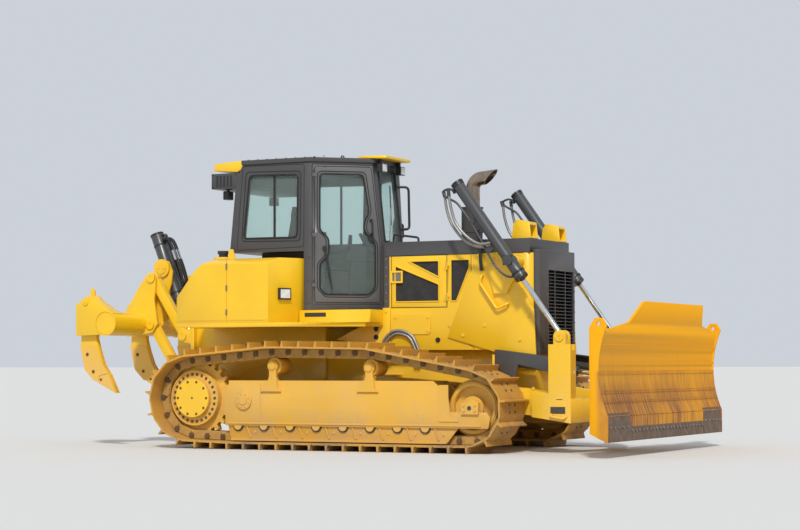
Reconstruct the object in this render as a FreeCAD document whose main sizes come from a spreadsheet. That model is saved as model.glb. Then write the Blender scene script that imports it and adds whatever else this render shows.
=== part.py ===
import FreeCAD, Part
import math
import os

import Sketcher

# A crawler bulldozer with an angling blade and a three-shank ripper.
# Lengths are millimetres: x ahead of the sprocket centre, y from the middle plane, z above the ground.
# Solids are drawn on the right-hand side, y below zero, and mirrored to the left.
SIZES = {
    # Where the part's origin lies, ahead of the sprocket centre.
    "origin_ahead": 1747.5,
    # Clearances.
    "seat_gap": 0.3,
    "panel_gap": 5.0,
    # Tracks.
    "track_gauge": 2000.0,
    "shoe_width": 610.0,
    "shoe_count": 45.0,
    "grouser_height": 60.0,
    "grouser_width": 14.0,
    "plate_thickness": 20.0,
    "plate_above_pin": 35.0,
    "rail_below_pin": 62.0,
    "rail_offset": 48.0,
    "rail_width": 40.0,
    "sprocket_height": 540.0,
    "sprocket_pin_radius": 408.5,
    "sprocket_teeth": 25.0,
    "tooth_height": 52.0,
    "sprocket_width": 76.0,
    "hub_radius": 300.0,
    "hub_cover_radius": 212.0,
    "idler_ahead": 3323.0,
    "idler_pin_radius": 342.0,
    "idler_flange": 30.0,
    "half_pitch": 101.0,
    "idler_width": 200.0,
    "carrier_radius": 90.0,
    "rear_carrier_ahead": 1000.0,
    "rear_carrier_height": 885.0,
    "front_carrier_ahead": 2157.0,
    "front_carrier_height": 865.0,
    "roller_radius": 100.0,
    "roller_count": 8.0,
    "first_roller_ahead": 583.0,
    "roller_step": 318.0,
    "roller_width": 220.0,
    "carrier_slack": 4.0,
    # Track frames.
    "frame_inner": 825.0,
    "frame_outer": 1175.0,
    "frame_plate": 25.0,
    "frame_rear": 430.0,
    "frame_top": 730.0,
    "frame_bottom": 252.0,
    "beam_front": 2900.0,
    "nose_arm_top": 415.0,
    "nose_arm_front": 3520.0,
    "guard_bottom": 90.0,
    "pivot_ahead": 665.0,
    "pivot_height": 517.0,
    "pivot_radius": 80.0,
    # Main frame.
    "case_half": 440.0,
    "case_rear": -400.0,
    "case_front": 1250.0,
    "case_bottom": 400.0,
    "deck_bottom": 1300.0,
    "deck_plate": 45.0,
    "deck_front": 2009.0,
    "rail_half": 380.0,
    "rail_bottom": 450.0,
    "rail_top": 1050.0,
    "rail_front": 3700.0,
    "final_drive_radius": 240.0,
    # Blade frame and its pivot.
    "lift_pivot_ahead": 2050.0,
    "lift_pivot_height": 650.0,
    "lift_pivot_radius": 60.0,
    "arm_inner": 560.0,
    "arm_outer": 680.0,
    "post_rear": 4034.0,
    "post_front": 4275.0,
    "post_outer": 840.0,
    "post_inner": 700.0,
    "post_top": 1099.0,
    "wing_rear": 3850.0,
    "lift_eye_ahead": 4155.0,
    "lift_eye_height": 1177.0,
    "ball_ahead": 4620.0,
    "ball_height": 450.0,
    "ball_radius": 80.0,
    # Lift cylinders.
    "lift_spacing": 1530.0,
    "lift_barrel_radius": 62.5,
    "lift_rod_radius": 27.5,
    "lift_cap_reach": 1017.0,
    "trunnion_ahead": 3584.0,
    "trunnion_height": 1960.0,
    "lift_gland_reach": 230.0,
    # Angle cylinders.
    "angle_offset": 620.0,
    "angle_pin_ahead": 3420.0,
    "angle_pin_height": 930.0,
    "angle_eye_height": 780.0,
    "angle_barrel_radius": 50.0,
    "angle_rod_radius": 25.0,
    "angle_gland_ahead": 4270.0,
    "guard_rise": 115.0,
    # Yoke between the blade frame and the blade.
    "yoke_rear": 4715.0,
    "yoke_front": 4775.0,
    "yoke_half": 680.0,
    "yoke_bottom": 360.0,
    "yoke_top": 600.0,
    "tower_top": 1090.0,
    "tilt_eye_across": 850.0,
    "tilt_eye_height": 970.0,
    "tilt_pin_across": 60.0,
    "tilt_pin_height": 1030.0,
    "tilt_ahead": 4715.0,
    "tilt_barrel_radius": 45.0,
    "tilt_rod_radius": 22.0,
    "small_pin": 16.0,
    # Blade.
    "blade_half": 1725.0,
    "blade_back": 4828.0,
    "blade_edge_ahead": 5003.0,
    "blade_bottom": 152.0,
    "blade_edge_top": 400.0,
    "blade_top": 1305.0,
    "blade_hollow": 100.0,
    "blade_shell": 25.0,
    "blade_corner_height": 1210.0,
    "spill_half_low": 1095.0,
    "spill_half_high": 890.0,
    "spill_top": 1516.0,
    "spill_lean": 85.0,
    "ear_top": 1338.0,
    # Hood and nose.
    "hood_half": 535.0,
    "hood_skin": 20.0,
    "hood_rear": 2010.0,
    "panel_rear": 2080.0,
    "cowl_half": 430.0,
    "cowl_rear_half": 240.0,
    "cowl_corner_ahead": 1990.0,
    "cowl_skin": 15.0,
    "cowl_slant_skin": 26.0,
    "cowl_corner_step": 8.0,
    "gusset_rear": 1449.0,
    "corner_ahead": 3645.0,
    "corner_radius": 110.0,
    "hood_low": 2050.0,
    "hood_top": 2200.0,
    "nose_rear": 3705.0,
    "nose_front": 3835.0,
    "nose_half": 480.0,
    "nose_face_half": 367.0,
    "nose_chamfer_ahead": 3785.0,
    "nose_top": 2085.0,
    "nose_bottom": 1000.0,
    "cheek_outer": 553.0,
    "grille_half": 340.0,
    "grille_low": 1090.0,
    "grille_high": 1872.0,
    "grille_bar": 140.0,
    "louvre_count": 22.0,
    "side_door_rear": 2100.0,
    "side_door_front": 2760.0,
    "side_door_low": 1500.0,
    "knuckle_radius": 9.0,
    "panel_low": 1050.0,
    # Engine and radiator.
    "engine_rear": 2250.0,
    "engine_front": 3450.0,
    "engine_half": 330.0,
    "engine_top": 1950.0,
    # Exhaust.
    "exhaust_ahead": 2850.0,
    "exhaust_across": -100.0,
    "muffler_radius": 113.0,
    "muffler_top": 2568.0,
    "pipe_radius": 74.0,
    "pipe_ahead": 2862.0,
    "bend_height": 2771.0,
    "bend_radius": 110.0,
    # Cab.
    "cab_half": 780.0,
    "cab_rear_low": 240.0,
    "cab_rear_middle": 317.0,
    "cab_middle_height": 2903.0,
    "cab_rear_high": 400.0,
    "cab_corner": 1258.0,
    "cab_front_low": 1855.0,
    "cab_front_high": 1760.0,
    "cab_front_half": 234.0,
    "cab_floor": 1480.0,
    "cab_step": 2120.0,
    "cab_knee": 2200.0,
    "cab_top": 3080.0,
    "cab_wall": 50.0,
    "cab_neck_half": 480.0,
    "cab_neck_rear": 470.0,
    "cab_neck_front": 1170.0,
    "cab_window_half": 194.0,
    "door_low": 1550.0,
    "door_high": 3050.0,
    "door_thickness": 45.0,
    "hinge_in": 22.5,
    "glass_thickness": 8.0,
    "roof_thickness": 50.0,
    # Tanks and deck.
    "tank_inner": 500.0,
    "tank_outer": 1200.0,
    "tank_rear": -180.0,
    "tank_facet": 968.0,
    "tank_front": 1139.0,
    "tank_front_outer": 850.0,
    "tank_top": 2040.0,
    # Ripper.
    "link_front_ahead": -575.0,
    "link_front_height": 690.0,
    "link_rear_ahead": -1000.0,
    "link_rear_height": 1352.0,
    "link_spacing": 530.0,
    "link_skew": 7.0,
    "link_inner": 365.0,
    "link_outer": 445.0,
    "link_radius": 65.0,
    "link_pin": 32.0,
    "tower_plate": 30.0,
    "beam_ahead": -1190.0,
    "beam_height": 1360.0,
    "beam_radius": 135.0,
    "beam_half": 1085.0,
    "shank_spread": 990.0,
    "shank_width": 64.0,
    "shank_rear": -1565.0,
    "shank_front": -1360.0,
    "shank_top": 1540.0,
    "holder_half": 93.0,
    "ripper_barrel_radius": 75.0,
    "ripper_rod_radius": 35.0,
    "ripper_trunnion_ahead": -1076.0,
    "ripper_trunnion_height": 2010.0,
    "ripper_eye_ahead": -658.0,
    "ripper_eye_height": 965.0,
    "ripper_cap_reach": 437.0,
    "ripper_gland_reach": 420.0,
    "ripper_eye_half": 38.0,
    "ripper_plate_gap": 92.0,
    "ripper_boss_radius": 90.0,
}

doc = FreeCAD.newDocument("bulldozer")
sheet = doc.addObject("Spreadsheet::Sheet", "Sizes")
for row, (alias, number) in enumerate(SIZES.items(), 1):
    sheet.set("A%d" % row, alias)
    sheet.set("B%d" % row, str(number))
    sheet.setAlias("B%d" % row, alias)
doc.recompute()


class Size:
    """A number together with the sheet formula that gives it."""

    def __init__(self, number, formula):
        self.number = float(number)
        self.formula = formula

    def __float__(self):
        return self.number

    def __add__(self, other):
        other = size(other)
        return Size(self.number + other.number, "(%s + %s)" % (self.formula, other.formula))

    def __sub__(self, other):
        other = size(other)
        return Size(self.number - other.number, "(%s - %s)" % (self.formula, other.formula))

    def __mul__(self, other):
        other = size(other)
        return Size(self.number * other.number, "(%s * %s)" % (self.formula, other.formula))

    def __truediv__(self, other):
        other = size(other)
        return Size(self.number / other.number, "(%s / %s)" % (self.formula, other.formula))

    def __radd__(self, other):
        return size(other) + self

    def __rsub__(self, other):
        return size(other) - self

    def __rmul__(self, other):
        return size(other) * self

    def __neg__(self):
        return Size(-self.number, "(0 - %s)" % self.formula)


def size(thing):
    """A Size from a Size or from a plain number."""
    if isinstance(thing, Size):
        return thing
    return Size(thing, "(%r)" % float(thing))


def root(thing):
    thing = size(thing)
    return Size(math.sqrt(thing.number), "sqrt(%s)" % thing.formula)


class Sheet:
    """The sheet's sizes as attributes."""


s = Sheet()
for alias in SIZES:
    setattr(s, alias, Size(sheet.get(alias), "Sizes." + alias))

NODES = []


def bind(thing, prop, value):
    thing.setExpression(prop, size(value).formula)


def place(thing, x, y, z, rotation=None):
    """Put a solid at a point, with an optional turn."""
    if rotation is None:
        rotation = FreeCAD.Rotation()
    thing.Placement = FreeCAD.Placement(FreeCAD.Vector(0, 0, 0), rotation)
    bind(thing, "Placement.Base.x", x)
    bind(thing, "Placement.Base.y", y)
    bind(thing, "Placement.Base.z", z)
    return thing


def box(name, x, y, z):
    """A block between the two values of each pair."""
    solid = doc.addObject("Part::Box", name)
    bind(solid, "Length", size(x[1]) - x[0])
    bind(solid, "Width", size(y[1]) - y[0])
    bind(solid, "Height", size(z[1]) - z[0])
    return place(solid, x[0], y[0], z[0])


def rod_y(name, x, z, radius, inner, outer):
    """A round bar across the machine, from inner to outer on the right-hand side."""
    solid = doc.addObject("Part::Cylinder", name)
    bind(solid, "Radius", radius)
    bind(solid, "Height", size(outer) - inner)
    return place(solid, x, -size(inner), z, FreeCAD.Rotation(FreeCAD.Vector(1, 0, 0), 90))


def rod_x(name, y, z, radius, rear, front):
    """A round bar along the machine."""
    solid = doc.addObject("Part::Cylinder", name)
    bind(solid, "Radius", radius)
    bind(solid, "Height", size(front) - rear)
    return place(solid, rear, y, z, FreeCAD.Rotation(FreeCAD.Vector(0, 1, 0), 90))


def rod_z(name, x, y, radius, low, high):
    """An upright round bar."""
    solid = doc.addObject("Part::Cylinder", name)
    bind(solid, "Radius", radius)
    bind(solid, "Height", size(high) - low)
    return place(solid, x, y, low)


def rod_between(name, start, end, radius):
    """A round bar between two points."""
    first = FreeCAD.Vector(*[float(value) for value in start])
    last = FreeCAD.Vector(*[float(value) for value in end])
    solid = doc.addObject("Part::Cylinder", name)
    bind(solid, "Radius", radius)
    steps = [size(end[k]) - start[k] for k in range(3)]
    bind(solid, "Height", root(steps[0] * steps[0] + steps[1] * steps[1] + steps[2] * steps[2]))
    turn = FreeCAD.Rotation(FreeCAD.Vector(0, 0, 1), last - first)
    return place(solid, start[0], start[1], start[2], turn)


def along(start, end, reach):
    """The point that lies reach beyond start on the line to end."""
    steps = [size(end[k]) - start[k] for k in range(len(start))]
    total = steps[0] * steps[0]
    for step in steps[1:]:
        total = total + step * step
    whole = root(total)
    return tuple(size(start[k]) + steps[k] / whole * reach for k in range(len(start)))


def arc_geometry(a, b, radius, side):
    """The short arc from a to b, its centre on the left for side 1 and on the right for side -1."""
    middle = (a + b) * 0.5
    chord = b - a
    rise = math.sqrt(max(radius * radius - chord.Length * chord.Length / 4, 0))
    normal = FreeCAD.Vector(-chord.y, chord.x, 0).normalize()
    centre = middle + normal * rise * side
    first, last = (a, b) if side > 0 else (b, a)
    start = math.atan2(first.y - centre.y, first.x - centre.x)
    end = math.atan2(last.y - centre.y, last.x - centre.x)
    if end < start:
        end += 2 * math.pi
    circle = Part.Circle(centre, FreeCAD.Vector(0, 0, 1), radius)
    return Part.ArcOfCircle(circle, start, end)


def outline(body, name, role, profile, offset, arcs=None):
    """A closed sketch on one of the body's own planes, with every corner bound to the sheet."""
    arcs = arcs or {}
    plane = [item for item in body.Origin.OriginFeatures if item.Role == role][0]
    sketch = body.newObject("Sketcher::SketchObject", name + "_sketch")
    sketch.AttachmentSupport = [(plane, "")]
    sketch.MapMode = "FlatFace"
    bind(sketch, "AttachmentOffset.Base.z", offset)
    corners = [FreeCAD.Vector(float(p[0]), float(p[1]), 0) for p in profile]
    count = len(corners)
    ends = []
    for index in range(count):
        a = corners[index]
        b = corners[(index + 1) % count]
        if index in arcs:
            radius, side = arcs[index]
            sketch.addGeometry(arc_geometry(a, b, float(radius), side), False)
            ends.append((1, 2) if side > 0 else (2, 1))
        else:
            sketch.addGeometry(Part.LineSegment(a, b), False)
            ends.append((1, 2))
    for index in range(count):
        following = (index + 1) % count
        sketch.addConstraint(
            Sketcher.Constraint("Coincident", index, ends[index][1], following, ends[following][0]))
    for index in range(count):
        for kind, axis in (("DistanceX", 0), ("DistanceY", 1)):
            value = size(profile[index][axis])
            place_in_list = sketch.addConstraint(
                Sketcher.Constraint(kind, -1, 1, index, ends[index][0], float(value)))
            sketch.setExpression("Constraints[%d]" % place_in_list, value.formula)
    for index in arcs:
        radius = size(arcs[index][0])
        place_in_list = sketch.addConstraint(Sketcher.Constraint("Radius", index, float(radius)))
        sketch.setExpression("Constraints[%d]" % place_in_list, radius.formula)
    return sketch


def prism(name, role, profile, offset, depth, arcs=None):
    """A padded outline. A side outline, on XZ_Plane, starts at y = -offset and grows to the right."""
    body = doc.addObject("PartDesign::Body", name)
    sketch = outline(body, name, role, profile, offset, arcs)
    pad = body.newObject("PartDesign::Pad", name + "_pad")
    pad.Profile = sketch
    bind(pad, "Length", depth)
    return body


def side_prism(name, profile, inner, outer, arcs=None):
    """A plate or block drawn in side view, between two distances to the right of the middle."""
    return prism(name, "XZ_Plane", profile, inner, size(outer) - inner, arcs)


def plan_prism(name, profile, low, high, arcs=None):
    return prism(name, "XY_Plane", profile, low, size(high) - low, arcs)


def front_prism(name, profile, rear, front, arcs=None):
    return prism(name, "YZ_Plane", profile, rear, size(front) - rear, arcs)


def fuse(name, pieces):
    solid = doc.addObject("Part::MultiFuse", name)
    solid.Shapes = pieces
    return solid


def cut(name, base, tools):
    tool = tools[0] if len(tools) == 1 else fuse(name + "_tools", tools)
    solid = doc.addObject("Part::Cut", name)
    solid.Base = base
    solid.Tool = tool
    return solid


def common(name, pieces):
    solid = doc.addObject("Part::MultiCommon", name)
    solid.Shapes = pieces
    return solid


def mirror(name, source):
    solid = doc.addObject("Part::Mirroring", name)
    solid.Source = source
    solid.Normal = FreeCAD.Vector(0, 1, 0)
    return solid


def group(name, pieces):
    """Pieces that don't touch, kept together in one node."""
    solid = doc.addObject("Part::Compound", name)
    solid.Links = pieces
    return solid


def both(name, source):
    """A right-hand solid and its mirror image in one node."""
    return group(name, [source, mirror(name + "_left_half", source)])


def feature(name, shape):
    solid = doc.addObject("Part::Feature", name)
    solid.Shape = shape
    return solid


def keep(name, solid, shifted=True):
    """Make a solid a sub-part, moved from the sprocket's origin to the part's."""
    if solid.TypeId in ("Part::Box", "Part::Cylinder"):
        solid = group(name + "_placed", [solid])
    solid.Label = name
    if shifted:
        bind(solid, "Placement.Base.x", -s.origin_ahead)
    NODES.append((name, solid))
    return solid


def keep_pair(name, solid):
    """A right-hand sub-part and its mirrored left-hand twin."""
    keep(name + "_right", solid)
    keep(name + "_left", mirror(name + "_mirror", solid), shifted=False)


# Pin line of the chain, as circles that a belt runs round.
pin_height = s.grouser_height + s.plate_thickness + s.plate_above_pin
idler_height = pin_height + s.idler_pin_radius
carrier_pin = s.carrier_radius + s.rail_below_pin + s.seat_gap
roller_pin = s.roller_radius + s.rail_below_pin + s.seat_gap
PULLEYS = (
    # ahead, height, radius of the pin line
    (size(0), s.sprocket_height, s.sprocket_pin_radius),
    (s.rear_carrier_ahead, s.rear_carrier_height, carrier_pin),
    (s.front_carrier_ahead, s.front_carrier_height, carrier_pin),
    (s.idler_ahead, idler_height, s.idler_pin_radius),
    (s.first_roller_ahead, pin_height + roller_pin, roller_pin),
)


def belt():
    """Straight runs and arcs of the pin line, clockwise in side view from the sprocket's top."""
    pieces = []
    count = len(PULLEYS)
    touch = []
    for index in range(count):
        a = [float(value) for value in PULLEYS[index]]
        b = [float(value) for value in PULLEYS[(index + 1) % count]]
        run = FreeCAD.Vector(b[0] - a[0], b[1] - a[1], 0)
        direction = math.atan2(run.y, run.x) - math.asin((a[2] - b[2]) / run.Length)
        normal = FreeCAD.Vector(-math.sin(direction), math.cos(direction), 0)
        touch.append((FreeCAD.Vector(a[0], a[1], 0) + normal * a[2],
                      FreeCAD.Vector(b[0], b[1], 0) + normal * b[2], direction))
    for index in range(count):
        start, end, direction = touch[index]
        pieces.append(("run", start, end, direction))
        following = (index + 1) % count
        centre = FreeCAD.Vector(float(PULLEYS[following][0]), float(PULLEYS[following][1]), 0)
        sweep = (direction - touch[following][2]) % (2 * math.pi)
        if sweep > math.pi * 1.5:
            sweep -= 2 * math.pi
        pieces.append(("arc", centre, float(PULLEYS[following][2]), direction, sweep))
    return pieces


def belt_length(pieces):
    total = 0.0
    for piece in pieces:
        if piece[0] == "run":
            total += (piece[2] - piece[1]).Length
        else:
            total += piece[2] * piece[4]
    return total


def belt_point(pieces, distance):
    """The point of the pin line at a distance from its start."""
    for piece in pieces:
        if piece[0] == "run":
            length = (piece[2] - piece[1]).Length
            if distance <= length:
                return piece[1] + (piece[2] - piece[1]) * (distance / length)
        else:
            length = piece[2] * piece[4]
            if distance <= length:
                turned = piece[3] - distance / piece[2]
                return piece[1] + FreeCAD.Vector(-math.sin(turned), math.cos(turned), 0) * piece[2]
        distance -= length
    return pieces[0][1]


def ring_solid(outer, inner, y_from, y_to):
    """A closed band between two outlines in side view."""
    wires = []
    for points in (outer, inner):
        corners = [FreeCAD.Vector(p.x, y_from, p.y) for p in points]
        wires.append(Part.makePolygon(corners + corners[:1]))
    face = Part.makeFace(wires, "Part::FaceMakerBullseye")
    return face.extrude(FreeCAD.Vector(0, y_to - y_from, 0))


def track_shape():
    """Grousered shoes and the two link rails under them, one closed loop."""
    pieces = belt()
    count = int(round(float(s.shoe_count)))
    length = belt_length(pieces)
    pins = [belt_point(pieces, length * index / count) for index in range(count)]
    low = float(s.plate_above_pin)
    plate = low + float(s.plate_thickness)
    tip = plate + float(s.grouser_height)
    half_tip = float(s.grouser_width) / 2
    outer = []
    under = []
    bottom = []
    bisectors = []
    for index in range(count):
        before = pins[index] - pins[index - 1]
        after = pins[(index + 1) % count] - pins[index]
        normal = FreeCAD.Vector(-before.y, before.x, 0).normalize()
        normal = normal + FreeCAD.Vector(-after.y, after.x, 0).normalize()
        bisectors.append(normal * (2.0 / normal.dot(normal)))
    for index in range(count):
        start = pins[index]
        end = pins[(index + 1) % count]
        step = end - start
        normal = FreeCAD.Vector(-step.y, step.x, 0).normalize()
        forward = FreeCAD.Vector(step.x, step.y, 0).normalize()
        outer.append(start + bisectors[index] * (low + float(s.plate_thickness) * 0.4))
        outer.append(start + forward * 10 + normal * plate)
        grouser = start + forward * 34
        for along_shoe, height in ((-16, plate), (-half_tip, tip), (half_tip, tip), (12, plate)):
            outer.append(grouser + forward * along_shoe + normal * height)
        outer.append(end - forward * 10 + normal * plate)
        under.append(start + bisectors[index] * low)
        bottom.append(start - bisectors[index] * float(s.rail_below_pin))
    centre = float(s.track_gauge) / 2
    half = float(s.shoe_width) / 2
    loop = ring_solid(outer, under, -centre - half, -centre + half)
    for side in (-1, 1):
        near = -centre + side * float(s.rail_offset)
        far = near + side * float(s.rail_width)
        loop = loop.fuse(ring_solid(under, bottom, near, far))
    return loop


def sprocket_shape():
    """A ring of teeth, the hub in it and the bolted cover."""
    teeth = int(round(float(s.sprocket_teeth)))
    root_radius = float(s.sprocket_pin_radius) - float(s.rail_below_pin) * 0.6
    tip_radius = root_radius + float(s.tooth_height)
    step = 2 * math.pi / teeth
    points = []
    for index in range(teeth):
        for share, radius in ((-0.5, root_radius), (-0.28, root_radius), (-0.1, tip_radius),
                              (0.1, tip_radius), (0.28, root_radius)):
            turn = (index + share) * step
            points.append(FreeCAD.Vector(radius * math.sin(turn), 0, radius * math.cos(turn)))
    centre = -float(s.track_gauge) / 2
    half = float(s.sprocket_width) / 2
    wire = Part.makePolygon(points + points[:1])
    ring = Part.Face(wire).extrude(FreeCAD.Vector(0, 2 * half, 0))
    ring.translate(FreeCAD.Vector(0, centre - half, float(s.sprocket_height)))
    return ring


def make_tracks():
    loop = feature("track_loop", track_shape())
    keep_pair("track", loop)
    middle = s.track_gauge / 2
    ring = feature("sprocket_ring", sprocket_shape())
    hub = rod_y("sprocket_hub", 0, s.sprocket_height, s.hub_radius,
                middle - 50, middle + s.sprocket_width / 2 + 72)
    cover = rod_y("sprocket_cover", 0, s.sprocket_height, s.hub_cover_radius,
                  middle, middle + s.sprocket_width / 2 + 122)
    keep("sprockets", both("sprocket_pair", fuse("sprocket_solid", [ring, hub, cover])))

    flats = root(s.idler_pin_radius * s.idler_pin_radius - s.half_pitch * s.half_pitch)
    tread = flats - s.rail_below_pin - s.seat_gap
    disc = rod_y("idler_tread", s.idler_ahead, idler_height, tread,
                 middle - s.idler_width / 2, middle + s.idler_width / 2)
    flange = rod_y("idler_rib", s.idler_ahead, idler_height, tread + s.idler_flange,
                   middle - s.rail_offset + s.panel_gap, middle + s.rail_offset - s.panel_gap)
    recess = rod_y("idler_recess", s.idler_ahead, idler_height, tread - 45,
                   middle + 45, middle + s.idler_width / 2 + 1)
    recess_in = rod_y("idler_recess_in", s.idler_ahead, idler_height, tread - 45,
                      middle - s.idler_width / 2 - 1, middle - 45)
    axle = rod_y("idler_axle", s.idler_ahead, idler_height, 85,
                 s.frame_inner + s.frame_plate + s.seat_gap,
                 s.frame_outer - s.frame_plate - s.seat_gap)
    dished = cut("idler_dished", fuse("idler_disc", [disc, flange]), [recess, recess_in])
    keep("idlers", both("idler_pair", fuse("idler_solid", [dished, axle])))

    rollers = []
    roller_height = pin_height + s.rail_below_pin + s.roller_radius + s.seat_gap
    for index in range(int(round(float(s.roller_count)))):
        ahead = s.first_roller_ahead + s.roller_step * index
        body = rod_y("roller_%d" % index, ahead, roller_height, s.roller_radius - 1,
                     middle - s.roller_width / 2, middle + s.roller_width / 2)
        shaft = rod_y("roller_shaft_%d" % index, ahead, roller_height, 35,
                      s.frame_inner + s.frame_plate + s.seat_gap,
                      s.frame_outer - s.frame_plate * 2 - s.seat_gap)
        rollers.append(fuse("roller_solid_%d" % index, [body, shaft]))
    for index, (ahead, height) in enumerate(((s.rear_carrier_ahead, s.rear_carrier_height),
                                             (s.front_carrier_ahead, s.front_carrier_height))):
        rollers.append(rod_y("carrier_%d" % index, ahead, height, s.carrier_radius - s.carrier_slack,
                             middle - 110, middle + 110 - s.seat_gap))
    keep("rollers", both("roller_pair", group("roller_row", rollers)))


def make_track_frames():
    outer_outline = (
        (s.frame_rear, s.frame_bottom),
        (s.frame_rear, s.frame_top - 120),
        (s.frame_rear + 60, s.frame_top),
        (s.beam_front, s.frame_top),
        (s.beam_front + 160, s.frame_top - 130),
        (s.beam_front + 200, s.nose_arm_top),
        (s.nose_arm_front - 20, s.nose_arm_top),
        (s.nose_arm_front + 20, s.nose_arm_top - 55),
        (s.nose_arm_front, s.frame_bottom),
    )
    plates = [
        side_prism("frame_plate_out", outer_outline, s.frame_outer - s.frame_plate, s.frame_outer),
        side_prism("frame_plate_in", outer_outline, s.frame_inner, s.frame_inner + s.frame_plate),
    ]
    roller_top = pin_height + s.rail_below_pin + s.roller_radius * 2 + s.seat_gap
    beam = box("frame_beam", (s.frame_rear + 40, s.beam_front),
               (-s.frame_outer + 1, -s.frame_inner - 1), (roller_top + 8, s.frame_top))
    front = s.idler_ahead - s.idler_pin_radius + s.rail_below_pin - 60
    guard_outline = (
        (s.frame_rear + 60, s.guard_bottom),
        (s.frame_rear + 20, s.frame_bottom + 10),
        (front + 200, s.frame_bottom + 10),
        (front + 60, s.guard_bottom),
    )
    guard = side_prism("roller_guard", guard_outline, s.frame_outer - s.frame_plate * 2,
                       s.frame_outer - s.frame_plate + 1)
    windows = []
    for index in range(int(round(float(s.roller_count)))):
        ahead = s.first_roller_ahead + s.roller_step * index
        opening = (
            (ahead - 55, s.guard_bottom + 30),
            (ahead - 105, s.frame_bottom - 12),
            (ahead + 105, s.frame_bottom - 12),
            (ahead + 55, s.guard_bottom + 30),
        )
        windows.append(side_prism("guard_window_%d" % index, opening,
                                  s.frame_outer - s.frame_plate * 2 - 5, s.frame_outer - s.frame_plate))
    guard = cut("guard_open", guard, windows)
    cover = rod_y("pivot_cover", s.pivot_ahead, s.pivot_height, s.pivot_radius + 15,
                  s.frame_outer - 2, s.frame_outer + 22)
    block = box("idler_block", (s.idler_ahead - 95, s.idler_ahead + 95),
                (-s.frame_outer - 25, -s.frame_outer + s.frame_plate),
                (s.nose_arm_top - 20, idler_height + 55))
    brackets = []
    for index, (ahead, height) in enumerate(((s.rear_carrier_ahead, s.rear_carrier_height),
                                             (s.front_carrier_ahead, s.front_carrier_height))):
        bracket = (
            (ahead - 60, s.frame_top - 5),
            (ahead - 42, s.frame_top + 40),
            (ahead - 42, height),
            (ahead + 42, height),
            (ahead + 42, s.frame_top + 40),
            (ahead + 60, s.frame_top - 5),
        )
        brackets.append(side_prism("carrier_bracket_%d" % index, bracket, s.track_gauge / 2 + 110,
                                   s.track_gauge / 2 + 155))
        brackets.append(rod_y("carrier_cap_%d" % index, ahead, height, 60, s.track_gauge / 2 + 110,
                              s.track_gauge / 2 + 155))
    solid = fuse("track_frame_solid", plates + [beam, guard, cover, block] + brackets)
    keep_pair("track_frame", solid)


def make_main_frame():
    case = box("rear_case", (s.case_rear, s.case_front), (-s.case_half, s.case_half),
               (s.case_bottom, s.deck_bottom))
    rails = box("engine_rails", (s.case_front - 10, s.rail_front), (-s.rail_half, s.rail_half),
                (s.rail_bottom, s.rail_top))
    drive = rod_y("final_drive", 0, s.sprocket_height, s.final_drive_radius, s.case_half - 20,
                  s.track_gauge / 2 - 50 - s.seat_gap)
    shaft = rod_y("pivot_shaft", s.pivot_ahead, s.pivot_height, s.pivot_radius, s.case_half - 20,
                  s.frame_inner - s.seat_gap)
    bar = box("equalizer_bar", (s.lift_pivot_ahead - 500, s.lift_pivot_ahead - 330),
              (-s.frame_inner + s.seat_gap, -s.rail_half + 10), (s.rail_bottom - 30, s.rail_bottom + 90))
    bearing = box("lift_bearing", (s.lift_pivot_ahead - 120, s.lift_pivot_ahead + 120),
                  (-s.arm_inner + s.panel_gap, -s.rail_half + 10),
                  (s.lift_pivot_height - 140, s.lift_pivot_height + 140))
    pin = rod_y("lift_pin", s.lift_pivot_ahead, s.lift_pivot_height, s.lift_pivot_radius,
                s.rail_half, s.arm_outer)
    sides = fuse("frame_side", [drive, shaft, bar, bearing, pin])
    keep("main_frame", fuse("main_frame_solid", [case, rails, sides, mirror("frame_side_left", sides)]))


def make_engine():
    keep("engine_block", box("engine_solid", (s.engine_rear, s.engine_front),
                             (-s.engine_half, s.engine_half), (s.rail_top, s.engine_top)))
    keep("radiator", box("radiator_solid", (s.rail_front - 110, s.rail_front),
                         (-s.hood_half + 55, s.hood_half - 55), (s.rail_top, s.hood_low)))


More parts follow.
